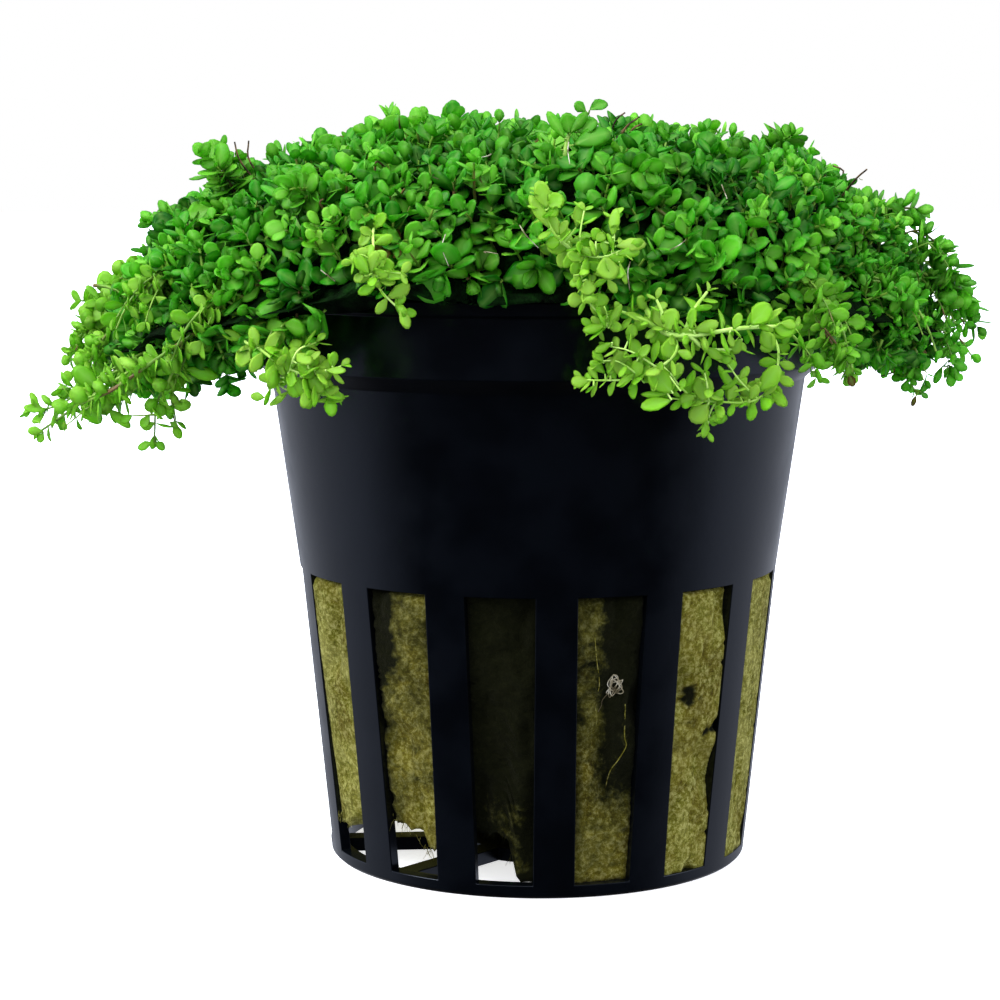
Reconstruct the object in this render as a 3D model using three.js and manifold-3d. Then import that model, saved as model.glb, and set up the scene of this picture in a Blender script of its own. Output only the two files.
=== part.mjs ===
// Potted dwarf baby tears: a black net pot, the plug of mineral wool in it, and the creeping plant that
// roots in the wool, domes over the rim and trails down outside it. Millimetres, Z up, the origin in the
// middle of the pot's base, the front at -Y. An azimuth is in degrees from the front, towards +X.
import * as THREE from "three";
import { mergeVertices } from "three/addons/utils/BufferGeometryUtils.js";
import Module from "manifold-3d";

const wasm = await Module();
wasm.setup();

// The pot: one injection moulding with a lip, a collar, a plain band, 14 ribs and a wheel-shaped base
const POT_HEIGHT = 50;
const LIP_RADIUS = 25;
const LIP_HEIGHT = 1.25;
const COLLAR_RADIUS = 24.75;
const COLLAR_BOTTOM = 43.8;
const SHOULDER_RADIUS = 23.45;
const SHOULDER_HEIGHT = 42.6;
const WAIST_RADIUS = 21.1;
const BASE_RADIUS = 18.45;
const BASE_THICKNESS = 1.2;
const WALL = 0.9;
const POT_SIDES = 42;

const SLOT_COUNT = 14;
const SLOT_TOP = 25.8;
const RIB_WIDTH = 3.5;
const RIB_AZIMUTH = 4.3;

const SPOKE_COUNT = 8;
const SPOKE_WIDTH = 2.4;
const HUB_RADIUS = 4.5;

// The wool: a soft plug, notched underneath at the front left
const WOOL_TOP = 45.6;
const WOOL_GAP = 0.45;
const WOOL_SIDES = 22;
const WOOL_ROWS = 6;
const WOOL_LUMP = 0.5;
const WOOL_FLOOR = 1.6;
const WOOL_NOTCH = 3;

// The leaf mat: the mass of short stems and leaves, here as one lobed cushion
const MAT_BOTTOM = 46;
const MAT_NECK_RADIUS = 22.6;
const MAT_OVER_RIM = 50.8;
const MAT_CROWN = 64;
const MAT_SKIRT = 2.6;
const MAT_SIDES = 36;
const MAT_ROWS = 8;
const MAT_ROUNDNESS = 2.8;
const MAT_KNOB = 0.7;
const CLEARANCE = 0.35;

// The stems and their leaves
const STEM_RADIUS = 0.42;
const STEM_SIDES = 4;
const STEM_ROOT = 2.2;
const LEAF_LENGTH = 3.6;
const LEAF_WIDTH = 2.7;
const LEAF_THICKNESS = 0.42;
const LEAF_LEAN = 28;

const POT_PLASTIC = new THREE.MeshStandardMaterial({ color: 0x0b0c10, roughness: 0.22, metalness: 0 });
const WOOL = new THREE.MeshStandardMaterial({ color: 0x8c8c34, roughness: 0.95, metalness: 0 });
const LEAF_GREEN = new THREE.MeshStandardMaterial({ color: 0x2f8a1c, roughness: 0.5, metalness: 0 });
const LEAF_LIME = new THREE.MeshStandardMaterial({ color: 0x9ccf2e, roughness: 0.5, metalness: 0 });

const UP = new THREE.Vector3(0, 0, 1);

// The unit vector that points away from the pot's axis at an azimuth.
function outward(azimuth) {
  const angle = THREE.MathUtils.degToRad(azimuth);
  return new THREE.Vector3(Math.sin(angle), -Math.cos(angle), 0);
}

// A steady value from -1 to 1 for a thing's number and a trait's number, so that like things differ.
function vary(thing, trait) {
  const spread = Math.sin(thing * 12.9898 + trait * 78.233) * 43758.5453;
  return 2 * (spread - Math.floor(spread)) - 1;
}

// A closed solid from a geometry, with the vertices that share a place merged.
function solidOf(geometry) {
  const bare = geometry.clone();
  bare.deleteAttribute("normal");
  bare.deleteAttribute("uv");
  const merged = mergeVertices(bare, 1e-4);
  return new wasm.Manifold(
    new wasm.Mesh({
      numProp: 3,
      vertProperties: merged.attributes.position.array,
      triVerts: new Uint32Array(merged.index.array),
    }),
  );
}

// A geometry from a closed solid.
function geometryOf(solid) {
  const mesh = solid.getMesh();
  const geometry = new THREE.BufferGeometry();
  geometry.setAttribute("position", new THREE.BufferAttribute(mesh.vertProperties, 3));
  geometry.setIndex(new THREE.BufferAttribute(mesh.triVerts, 1));
  geometry.computeVertexNormals();
  return geometry;
}

// A profile of [radius, height] points turned round the Z axis.
function turned(profile, sides) {
  const points = profile.map(([radius, height]) => new THREE.Vector2(radius, height));
  return new THREE.LatheGeometry(points, sides).rotateX(Math.PI / 2);
}

// The pot's outer radius below the shoulder: the wall flares a little more above the slots.
function wallRadius(height) {
  if (height < SLOT_TOP) {
    return THREE.MathUtils.mapLinear(height, 0, SLOT_TOP, BASE_RADIUS, WAIST_RADIUS);
  }
  return THREE.MathUtils.mapLinear(height, SLOT_TOP, SHOULDER_HEIGHT, WAIST_RADIUS, SHOULDER_RADIUS);
}

// The turned blank of the pot, before its slots and base holes are cut.
function potBlank() {
  const edge = 0.4;
  return turned(
    [
      [0, 0],
      [BASE_RADIUS - edge, 0],
      [wallRadius(edge), edge],
      [WAIST_RADIUS, SLOT_TOP],
      [SHOULDER_RADIUS, SHOULDER_HEIGHT],
      [COLLAR_RADIUS, COLLAR_BOTTOM],
      [COLLAR_RADIUS, POT_HEIGHT - LIP_HEIGHT],
      [LIP_RADIUS, POT_HEIGHT - LIP_HEIGHT + 0.2],
      [LIP_RADIUS, POT_HEIGHT],
      [COLLAR_RADIUS - WALL, POT_HEIGHT],
      [COLLAR_RADIUS - WALL, COLLAR_BOTTOM],
      [SHOULDER_RADIUS - WALL, SHOULDER_HEIGHT],
      [WAIST_RADIUS - WALL, SLOT_TOP],
      [wallRadius(BASE_THICKNESS) - WALL, BASE_THICKNESS],
      [0, BASE_THICKNESS],
    ],
    POT_SIDES,
  );
}

// The cutter of one slot: a trapezium as wide as the pitch less a rib, pushed through the wall.
function slotCutter(index) {
  const pitch = (height) => (2 * Math.PI * wallRadius(height)) / SLOT_COUNT;
  const low = (pitch(BASE_THICKNESS) - RIB_WIDTH) / 2;
  const high = (pitch(SLOT_TOP) - RIB_WIDTH) / 2;
  const outline = new THREE.Shape([
    new THREE.Vector2(-low, BASE_THICKNESS),
    new THREE.Vector2(low, BASE_THICKNESS),
    new THREE.Vector2(high, SLOT_TOP),
    new THREE.Vector2(-high, SLOT_TOP),
  ]);
  const depth = 10;
  const azimuth = RIB_AZIMUTH + ((index + 0.5) * 360) / SLOT_COUNT;
  return new THREE.ExtrudeGeometry(outline, { depth, bevelEnabled: false })
    .rotateX(Math.PI / 2)
    .translate(0, 2 - (BASE_RADIUS - depth / 2) - 1, 0)
    .rotateZ(THREE.MathUtils.degToRad(azimuth));
}

// The cutter of one hole in the base, between two spokes, the hub and the wall.
function baseHoleCutter(index) {
  const half = Math.PI / SPOKE_COUNT;
  const rim = wallRadius(BASE_THICKNESS) - WALL - 0.3;
  const inset = (radius) => half - Math.asin(SPOKE_WIDTH / 2 / radius);
  const at = (radius, angle) => new THREE.Vector2(radius * Math.sin(angle), -radius * Math.cos(angle));
  const outline = [];
  for (let step = -2; step <= 2; step += 1) outline.push(at(rim, (inset(rim) * step) / 2));
  outline.push(at(HUB_RADIUS, inset(HUB_RADIUS)), at(HUB_RADIUS, -inset(HUB_RADIUS)));
  return new THREE.ExtrudeGeometry(new THREE.Shape(outline), { depth: 3, bevelEnabled: false })
    .translate(0, 0, -1)
    .rotateZ(half * (2 * index + 1));
}

function netPot() {
  let pot = solidOf(potBlank());
  for (let index = 0; index < SLOT_COUNT; index += 1) pot = pot.subtract(solidOf(slotCutter(index)));
  for (let index = 0; index < SPOKE_COUNT; index += 1) pot = pot.subtract(solidOf(baseHoleCutter(index)));
  return pot;
}

// The wool fills the pot up to its collar. Its side is lumpy, and a seam of the rolled strip runs down it.
function woolPlug() {
  const profile = [[0, WOOL_FLOOR]];
  for (let row = 0; row <= WOOL_ROWS; row += 1) {
    const height = THREE.MathUtils.lerp(WOOL_FLOOR, SHOULDER_HEIGHT, row / WOOL_ROWS);
    profile.push([wallRadius(height) - WALL - WOOL_GAP, height]);
  }
  profile.push([SHOULDER_RADIUS - WALL - 1.8, WOOL_TOP], [0, WOOL_TOP]);
  const geometry = turned(profile, WOOL_SIDES);
  const place = geometry.getAttribute("position");
  for (let i = 0; i < place.count; i += 1) {
    const point = new THREE.Vector3().fromBufferAttribute(place, i);
    const radius = Math.hypot(point.x, point.y);
    if (radius > 1) {
      const azimuth = Math.atan2(point.x, -point.y);
      const swell = Math.sin(3 * azimuth + 0.21 * point.z) * Math.sin(5 * azimuth - 0.34 * point.z);
      const share = (radius - WOOL_LUMP * (0.5 + 0.5 * swell)) / radius;
      point.x *= share;
      point.y *= share;
    }
    const raised = WOOL_NOTCH * (1 - THREE.MathUtils.smoothstep(point.x, -1, 5));
    point.z += raised * (1 - THREE.MathUtils.smoothstep(point.z, WOOL_FLOOR, WOOL_TOP));
    place.setXYZ(i, point.x, point.y, point.z);
  }
  return solidOf(geometry);
}

// How far the mat reaches from the axis at an azimuth: least at the front, most at the left.
function matReach(azimuth) {
  const a = THREE.MathUtils.degToRad(azimuth);
  return 33.3 - 3.6 * Math.cos(a) - 1.25 * Math.sin(a) - 2.9 * Math.cos(2 * a);
}

// How high the mat's outer edge hangs: at the rim in front, well below it at the sides.
function matEdge(azimuth) {
  const a = THREE.MathUtils.degToRad(azimuth);
  return 45.6 + 3 * Math.cos(a) + 0.75 * Math.sin(a) + 2.4 * Math.cos(2 * a);
}

// The knobs that the tufts of leaves make all over the mat.
function knob(point) {
  return MAT_KNOB * Math.sin(0.62 * point.x + 1.1) * Math.sin(0.58 * point.y + 0.31 * point.z);
}

// A point on the mat's outer surface. climb runs from 0 at the edge to 1 at the crown.
function onMat(azimuth, climb, lift = 0) {
  const a = (climb * Math.PI) / 2;
  const power = 2 / MAT_ROUNDNESS;
  const across = Math.cos(a) ** power;
  const along = Math.sin(a) ** power;
  const edge = matEdge(azimuth);
  const point = outward(azimuth).multiplyScalar(matReach(azimuth) * across + lift * Math.cos(a));
  point.z = edge + (MAT_CROWN - edge) * along + lift * Math.sin(a);
  return point;
}

// The mat as a closed loft: neck inside the rim, over the rim, out to the skirt, and up to the crown.
// grow swells it, for cutting what grows out of it.
function leafMat(grow = 0) {
  const rings = [];
  for (let side = 0; side < MAT_SIDES; side += 1) {
    const azimuth = (side * 360) / MAT_SIDES;
    const out = outward(azimuth);
    const at = (radius, height) => new THREE.Vector3(out.x * radius, out.y * radius, height);
    const reach = matReach(azimuth);
    const edge = matEdge(azimuth);
    const inner = Math.max(reach - MAT_SKIRT, 25.9);
    const ring = [
      at(MAT_NECK_RADIUS + grow, MAT_BOTTOM - grow),
      at(MAT_NECK_RADIUS + grow, MAT_OVER_RIM - grow),
      at(25.8, MAT_OVER_RIM - grow),
      at(inner - grow, Math.min(edge + 0.6, MAT_OVER_RIM) - grow),
      at(Math.max(reach - 0.9, inner + 0.5), Math.min(edge - 0.9, MAT_OVER_RIM - 0.3) - grow),
    ];
    for (let row = 0; row < MAT_ROWS; row += 1) {
      const climb = 0.06 + (0.86 * row) / (MAT_ROWS - 1);
      ring.push(onMat(azimuth, climb, knob(onMat(azimuth, climb)) + grow));
    }
    rings.push(ring);
  }
  const foot = new THREE.Vector3(0, 0, MAT_BOTTOM - grow);
  const crown = new THREE.Vector3(0, 0, MAT_CROWN + grow);
  const rows = rings[0].length;
  const points = [...rings.flat(), foot, crown];
  const faces = [];
  for (let side = 0; side < MAT_SIDES; side += 1) {
    const here = side * rows;
    const next = ((side + 1) % MAT_SIDES) * rows;
    faces.push(points.length - 2, next, here);
    faces.push(points.length - 1, here + rows - 1, next + rows - 1);
    for (let row = 0; row < rows - 1; row += 1) {
      faces.push(here + row, next + row, next + row + 1);
      faces.push(here + row, next + row + 1, here + row + 1);
    }
  }
  const geometry = new THREE.BufferGeometry().setFromPoints(points);
  geometry.setIndex(faces);
  return solidOf(geometry);
}

// One leaf as a thin kite, from inside the stem out along +X, its face to +Z and its tip curled up.
// room thickens it, for the space that it keeps to itself.
function leafGeometry(length, room = 0) {
  const width = (LEAF_WIDTH * length) / LEAF_LENGTH + room;
  const half = (LEAF_THICKNESS + room) / 2;
  const points = [
    [-0.4, 0, -0.1],
    [0.55 * length, -width / 2, 0],
    [length, 0, 0.12 * length],
    [0.55 * length, width / 2, 0],
    [0.5 * length, 0, half],
    [0.5 * length, 0, -half],
  ].map(([x, y, z]) => new THREE.Vector3(x, y, z));
  const geometry = new THREE.BufferGeometry().setFromPoints(points);
  geometry.setIndex([0, 1, 4, 1, 2, 4, 2, 3, 4, 3, 0, 4, 1, 0, 5, 2, 1, 5, 3, 2, 5, 0, 3, 5]);
  return geometry;
}

// The matrix that sets a leaf at a place, pointing along a direction, its face towards the stem's tip.
function leafPlace(point, direction, tangent) {
  const face = tangent.clone().addScaledVector(direction, -tangent.dot(direction)).normalize();
  const side = new THREE.Vector3().crossVectors(face, direction);
  return new THREE.Matrix4().makeBasis(direction, side, face).setPosition(point);
}

// The leaves of a stem in opposite pairs, each pair turned a quarter from the last, smaller to the tip.
function leavesAlong(path, pairs, turn) {
  const leaves = [];
  for (let pair = 0; pair < pairs; pair += 1) {
    const share = THREE.MathUtils.lerp(0.34, 0.97, pair / (pairs - 1));
    const point = path.getPointAt(share);
    const tangent = path.getTangentAt(share);
    const level = new THREE.Vector3().crossVectors(tangent, UP);
    if (level.length() < 0.1) level.set(1, 0, 0);
    level.normalize();
    const lean = THREE.MathUtils.degToRad(pair === pairs - 1 ? LEAF_LEAN + 22 : LEAF_LEAN);
    const length = LEAF_LENGTH * (pair === pairs - 1 ? 0.72 : 1);
    for (const half of [0, Math.PI]) {
      const side = level.clone().applyAxisAngle(tangent, turn + (pair * Math.PI) / 2 + half);
      const direction = side.multiplyScalar(Math.cos(lean)).addScaledVector(tangent, Math.sin(lean));
      const place = leafPlace(point, direction, tangent);
      leaves.push({
        solid: solidOf(leafGeometry(length).applyMatrix4(place)),
        room: solidOf(leafGeometry(length + CLEARANCE, 2 * CLEARANCE).applyMatrix4(place)),
      });
    }
  }
  return leaves;
}

// The round stem itself.
function stemTube(path, steps) {
  const outline = [];
  for (let side = 0; side < STEM_SIDES; side += 1) {
    const angle = (side * 2 * Math.PI) / STEM_SIDES;
    outline.push(new THREE.Vector2(STEM_RADIUS * Math.cos(angle), STEM_RADIUS * Math.sin(angle)));
  }
  return solidOf(
    new THREE.ExtrudeGeometry(new THREE.Shape(outline), { steps, extrudePath: path, bevelEnabled: false }),
  );
}

// A stem that leaves the mat at an azimuth and climb, heads off and sinks under its own weight.
function creepingPath({ azimuth, climb, heading = 0, pitch, length, droop }) {
  const start = onMat(azimuth, climb);
  const tilt = THREE.MathUtils.degToRad(pitch);
  const course = outward(azimuth + heading).multiplyScalar(Math.cos(tilt)).addScaledVector(UP, Math.sin(tilt));
  const root = start.clone().addScaledVector(course, -STEM_ROOT);
  const middle = start.clone().addScaledVector(course, length / 2);
  const tip = start.clone().addScaledVector(course, length).addScaledVector(UP, -droop);
  return new THREE.QuadraticBezierCurve3(root, middle, tip);
}

// A stem laid by hand through its points, for those that show at the front.
function laidPath(points) {
  return new THREE.CatmullRomCurve3(points.map(([x, y, z]) => new THREE.Vector3(x, y, z)));
}

// The stems that hang from the mat's edge, all the way round but for the bare stretch in front.
function skirtStems() {
  const stems = [];
  const count = 16;
  for (let i = 0; i < count; i += 1) {
    const azimuth = THREE.MathUtils.lerp(52, 304, i / (count - 1)) + 3 * vary(i, 2);
    const left = Math.exp(-(((azimuth - 252) / 22) ** 2));
    stems.push({
      name: `skirt_stem_${String(i + 1).padStart(2, "0")}`,
      pairs: 3,
      turn: 0.7 * vary(i, 3),
      path: creepingPath({
        azimuth,
        climb: 0.07 + 0.05 * (i % 3),
        heading: 16 * vary(i, 4),
        pitch: 8 * (i % 2) - 6,
        length: 4.1 + 0.8 * vary(i, 5) + 5 * left,
        droop: 5.2 + 1.2 * vary(i, 6) + 0.8 * left,
      }),
    });
  }
  return stems;
}

// The stems that stand out from the mat's shoulder.
function shoulderStems() {
  const stems = [];
  const count = 6;
  for (let i = 0; i < count; i += 1) {
    stems.push({
      name: `shoulder_stem_${String(i + 1).padStart(2, "0")}`,
      pairs: 3,
      turn: 0.7 * vary(i, 7),
      path: creepingPath({
        azimuth: 22 + (i * 360) / count + 6 * vary(i, 8),
        climb: 0.4 + 0.06 * vary(i, 9),
        pitch: 14,
        length: 2.4,
        droop: 0.7,
      }),
    });
  }
  return stems;
}

// The upright sprigs on the crown.
function crownSprigs() {
  const spots = [
    [11, 0.62, 2.9],
    [75, 0.64, 1.8],
    [150, 0.66, 2.3],
    [215, 0.66, 2.2],
    [285, 0.5, 2.2],
  ];
  return spots.map(([azimuth, climb, length], i) => ({
    name: `crown_sprig_${i + 1}`,
    pairs: 3,
    turn: 0.8 * vary(i, 10),
    path: creepingPath({ azimuth, climb, heading: 10, pitch: 66, length, droop: 0.2 }),
  }));
}

// The pale stems that show at the front: a tuft at the left, a sprig, and the long ones at the right.
function frontStems() {
  const laid = [
    ["front_left_tuft", 3, [[-24.5, -14.5, 49.5], [-23.6, -16.5, 46.6], [-21.6, -17.6, 44.4], [-19.4, -18.6, 42]]],
    ["front_left_sprig", 3, [[-12.6, -24.2, 53.4], [-11.8, -27, 52.2], [-10.8, -28, 50], [-10.2, -28.2, 48.2]]],
    ["front_upright_stem", 3, [[3.6, -25.6, 52.6], [2.4, -28.4, 54.4], [1.2, -29, 56.6], [0.1, -29, 59]]],
    ["front_pale_stem", 3, [[4.6, -24.4, 54.6], [6, -29.4, 54.2], [8.8, -30.6, 53], [11, -30.4, 52]]],
    ["front_long_stem", 4, [[5.4, -25.4, 52.2], [8.4, -29.6, 48.6], [14.4, -29, 48.6], [20.6, -25.6, 48.2]]],
    ["front_hanging_stem", 3, [[10.6, -30.4, 47.3], [8.6, -29.8, 45.8], [6.2, -28.8, 44.9], [3.2, -28, 44.2]]],
    ["front_looping_stem", 4, [[21, -22.8, 50], [21.6, -24.4, 45.6], [17, -26, 43.2], [12.8, -27.2, 42]]],
  ];
  return laid.map(([name, pairs, points], i) => ({
    name,
    pairs,
    turn: 0.6 * vary(i, 11),
    material: LEAF_LIME,
    path: laidPath(points),
  }));
}

const overlap = (a, b) => a.intersect(b).volume() > 1e-4;

// Every stem with its leaves fused to it, cut clear of the mat. A leaf that would touch the pot, the
// mat or a stem made before is left off, as leaves that are crowded fail to open.
function grow(stems, mat) {
  const potSpace = solidOf(
    turned(
      [
        [0, -1],
        [BASE_RADIUS + CLEARANCE, -1],
        [LIP_RADIUS + CLEARANCE, COLLAR_BOTTOM - 2],
        [LIP_RADIUS + CLEARANCE, POT_HEIGHT + CLEARANCE],
        [0, POT_HEIGHT + CLEARANCE],
      ],
      POT_SIDES,
    ),
  );
  const taken = [];
  return stems.map((stem) => {
    const steps = Math.max(3, Math.round(stem.path.getLength() / 4));
    let solid = stemTube(stem.path, steps).subtract(mat).subtract(potSpace);
    for (const leaf of leavesAlong(stem.path, stem.pairs, stem.turn)) {
      const roomy = [mat, potSpace, ...taken].every((other) => !overlap(leaf.room, other));
      if (roomy) solid = solid.add(leaf.solid);
    }
    const crossed = taken.findIndex((other) => overlap(solid, other));
    if (crossed >= 0) throw new Error(`${stem.name} crosses ${stems[crossed].name}`);
    const largest = solid.decompose().sort((a, b) => b.volume() - a.volume())[0];
    taken.push(largest);
    return { ...stem, solid: largest };
  });
}

function part(name, solid, material) {
  const mesh = new THREE.Mesh(geometryOf(solid), material);
  mesh.name = name;
  return mesh;
}

const plant = new THREE.Group();
plant.add(part("leaf_mat", leafMat(), LEAF_GREEN));
const stems = [...frontStems(), ...skirtStems(), ...shoulderStems(), ...crownSprigs()];
for (const stem of grow(stems, leafMat(CLEARANCE))) {
  plant.add(part(stem.name, stem.solid, stem.material ?? LEAF_GREEN));
}

const pottedPlant = new THREE.Group();
pottedPlant.add(part("net_pot", netPot(), POT_PLASTIC));
pottedPlant.add(part("wool_plug", woolPlug(), WOOL));
pottedPlant.add(plant);

export default pottedPlant;
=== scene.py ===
"""Potted dwarf baby tears: a black net pot with its plug of mineral wool, and the creeping plant that
domes over the rim and trails down outside it. Shapes are worked out in millimetres and scaled to
metres when a piece is finished. Z is up, the front is -Y, and an azimuth is in degrees from the front
to +X."""

import math
from itertools import product

import bmesh
import bpy
import numpy as np
from mathutils import Euler, Matrix, Vector, noise


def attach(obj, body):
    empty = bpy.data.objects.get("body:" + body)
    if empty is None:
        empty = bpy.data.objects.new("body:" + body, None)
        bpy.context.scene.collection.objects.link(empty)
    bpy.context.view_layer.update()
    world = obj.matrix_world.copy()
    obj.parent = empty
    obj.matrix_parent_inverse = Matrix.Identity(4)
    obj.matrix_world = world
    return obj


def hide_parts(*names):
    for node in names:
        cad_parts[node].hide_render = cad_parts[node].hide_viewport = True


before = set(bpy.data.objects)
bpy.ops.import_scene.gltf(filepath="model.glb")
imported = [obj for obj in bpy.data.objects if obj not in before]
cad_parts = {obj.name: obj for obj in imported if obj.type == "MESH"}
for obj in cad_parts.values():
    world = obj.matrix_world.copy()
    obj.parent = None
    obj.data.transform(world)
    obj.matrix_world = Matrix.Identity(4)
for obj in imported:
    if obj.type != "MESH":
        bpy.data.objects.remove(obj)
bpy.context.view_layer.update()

MM = 0.001

# The pot, as the solid has it but for the spokes and the hub, which follow what shows in the slots
POT_HEIGHT = 50
LIP_RADIUS = 25
LIP_HEIGHT = 1.25
COLLAR_RADIUS = 24.75
COLLAR_BOTTOM = 43.8
SHOULDER_RADIUS = 23.45
SHOULDER_HEIGHT = 42.6
WAIST_RADIUS = 21.1
BASE_RADIUS = 18.45
BASE_THICKNESS = 1.2
WALL = 0.9
SLOT_COUNT = 14
SLOT_TOP = 25.8
RIB_WIDTH = 3.5
RIB_AZIMUTH = 4.3
SPOKE_COUNT = 8
SPOKE_WIDTH = 2.0
SPOKE_AZIMUTH = 5.5
HUB_RADIUS = 6.6
BASE_HOLE_RADIUS = 17.15

# The wool plug and its loose fibres
WOOL_TOP = 45.6
WOOL_FLOOR = 1.22
WOOL_NOTCH = 4.2
FIBRE_COUNT = 1100
STRAY_STAIN = 0.3

# Round the pot from the rib at the front towards +X, how far the wool bulges into each slot, as a
# share of the wall, and how dark it is there: stained, and in the slots at the front also painted
# with shade where little light reaches them
SLOT_BULGE = [0.5, 1.25, 1.3, 0.6, 0.4, 0.7, 0.5, 0.3, 0.6, 0.8, 0.5, 1.3, 0.8, 0.1]
SLOT_STAIN_AND_SHADE = [1.0, 0.3, 0.1, 0.2, 0.4, 0.1, 0.3, 0.5, 0.2, 0.1, 0.2, 0.1, 0.8, 1.9]

# The mat of leaves
MAT_CROWN = 64
MAT_ROUNDNESS = 2.8

# Stems and leaves
STEM_RADIUS = 0.16
STEM_ROOT = 2.2
LEAF_LENGTH = 2.3
LEAF_WIDTH = 1.72
LEAF_THICKNESS = 0.11

# The shoots of the dome: how far apart they stand, how many places are tried, how many sprays they
# make up, and the shares of them that are long or withered
SHOOT_SPACING = 1.42
SHOOT_TRIES = 16000
SPRAY_COUNT = 8
LONG_SHARE = 0.06
WITHERED_SHARE = 0.005

# The camera, fitted to the lip, the slots and the base in the photograph, its angles in radians
CAMERA_DISTANCE = 233.7
CAMERA_HEIGHT = 60.0
CAMERA_TILT = 0.122
CAMERA_TURN = 0.0144
FOCAL_PIXELS = 2649
FRAME_PIXELS = 1000
SENSOR_WIDTH = 36


# Colours and nodes


def linear(code):
    """An sRGB hex colour as linear RGBA."""
    channels = [int(code[i : i + 2], 16) / 255 for i in (1, 3, 5)]
    return (*[c / 12.92 if c <= 0.04045 else ((c + 0.055) / 1.055) ** 2.4 for c in channels], 1)


def add_node(tree, kind, inputs=(), stops=(), **settings):
    """Adds a shader node and gives its outputs. inputs maps an input's name or number to a value, or
    to the output that feeds it, and stops are a colour ramp's (position, hex colour) pairs. A map
    range's inputs 0 to 4 are the value, the two ends of its range and what they become."""
    made = tree.nodes.new("ShaderNode" + kind)
    for name, value in settings.items():
        setattr(made, name, value)
    for name, value in dict(inputs).items():
        if isinstance(value, bpy.types.NodeSocket):
            tree.links.new(value, made.inputs[name])
        else:
            made.inputs[name].default_value = value
    if stops:
        elements = made.color_ramp.elements
        while len(elements) < len(stops):
            elements.new(0.5)
        for element, (position, code) in zip(elements, stops):
            element.position = position
            element.color = linear(code)
    return made.outputs


def new_material(name):
    """An empty node material and its tree."""
    material = bpy.data.materials.new(name)
    material.use_nodes = True
    material.node_tree.nodes.clear()
    return material, material.node_tree


def finished(material, surface):
    """The material with its surface joined to its output."""
    add_node(material.node_tree, "OutputMaterial", {"Surface": surface})
    return material


def lumps(size):
    """The scale of a noise whose lumps are about size millimetres across."""
    return 1 / (size * MM)


# Materials


def moulded_polypropylene():
    """Black injection-moulded polypropylene: smooth and glossy with a blue cast, its gloss a little
    uneven."""
    material, tree = new_material("black_moulded_polypropylene")
    place = add_node(tree, "TexCoord")["Object"]
    patches = add_node(tree, "TexNoise", {"Vector": place, "Scale": lumps(5.0), "Detail": 3.0})["Fac"]
    skin = add_node(tree, "TexNoise", {"Vector": place, "Scale": lumps(0.7), "Detail": 2.0})["Fac"]
    blacks = [(0.3, "#030509"), (0.7, "#020305")]
    black = add_node(tree, "ValToRGB", {"Fac": patches}, blacks)["Color"]
    gloss = add_node(tree, "MapRange", {0: patches, 1: 0.4, 2: 0.62, 3: 0.27, 4: 0.16})["Result"]
    raised = {"Strength": 0.1, "Distance": 0.05 * MM, "Height": skin}
    plastic = {
        "Base Color": black,
        "Roughness": gloss,
        "IOR": 1.49,
        "Specular Tint": linear("#dce8ff"),
        "Normal": add_node(tree, "Bump", raised)["Normal"],
    }
    return finished(material, add_node(tree, "BsdfPrincipled", plastic)["BSDF"])


def mineral_wool():
    """Spun mineral wool grown over with algae: matt felt in patches of olive and straw, nearly black
    in places from stains and from painted shade."""
    material, tree = new_material("algae_stained_mineral_wool")
    place = add_node(tree, "TexCoord")["Object"]
    stain_and_shade = add_node(tree, "Attribute", attribute_name="stain_and_shade")["Fac"]
    patches = add_node(
        tree, "TexNoise", {"Vector": place, "Scale": lumps(5.0), "Detail": 4.0, "Roughness": 0.6}
    )["Fac"]
    fibres = add_node(
        tree, "TexNoise", {"Vector": place, "Scale": lumps(0.45), "Detail": 6.0, "Roughness": 0.8}
    )["Fac"]
    grains = add_node(
        tree, "TexNoise", {"Vector": place, "Scale": lumps(1.1), "Detail": 4.0, "Roughness": 0.7}
    )["Fac"]
    olives = [(0.36, "#45410a"), (0.5, "#66641a"), (0.64, "#827f36")]
    straws = [(0.38, "#181602"), (0.49, "#69671c"), (0.6, "#b3b06a")]
    browns = [(0.25, "#5a430d"), (0.6, "#261d04"), (0.9, "#0a0c02")]
    olive = add_node(tree, "ValToRGB", {"Fac": patches}, olives)["Color"]
    straw = add_node(tree, "ValToRGB", {"Fac": fibres}, straws)["Color"]
    clean = add_node(tree, "Mix", {0: 0.6, 6: olive, 7: straw}, data_type="RGBA")[2]
    faded = add_node(tree, "MapRange", {0: stain_and_shade, 1: 0.1, 2: -0.9, 3: 0.0, 4: 0.8})["Result"]
    faded_to = {0: faded, 6: clean, 7: linear("#b9b26e")}
    pale = add_node(tree, "Mix", faded_to, data_type="RGBA")[2]
    # The darkening below mixes real stain with painted shade, and takes the wool towards brown and
    # black
    patchy = add_node(tree, "Math", {0: stain_and_shade, 1: grains}, operation="ADD")[0]
    dark = add_node(tree, "MapRange", {0: patchy, 1: 0.55, 2: 1.75, 3: 0.0, 4: 0.99})["Result"]
    brown = add_node(tree, "ValToRGB", {"Fac": dark}, browns)["Color"]
    colour = add_node(tree, "Mix", {0: dark, 6: pale, 7: brown}, data_type="RGBA")[2]
    height = add_node(tree, "Math", {0: fibres, 1: grains}, operation="ADD")[0]
    raised = {"Strength": 0.8, "Distance": 0.35 * MM, "Height": height}
    felt = {
        "Base Color": colour,
        "Roughness": 0.85,
        "IOR": 1.45,
        "Specular IOR Level": 0.05,
        "Sheen Weight": 0.02,
        "Sheen Roughness": 0.5,
        "Sheen Tint": linear("#f4efd0"),
        "Normal": add_node(tree, "Bump", raised)["Normal"],
    }
    return finished(material, add_node(tree, "BsdfPrincipled", felt)["BSDF"])


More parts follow.
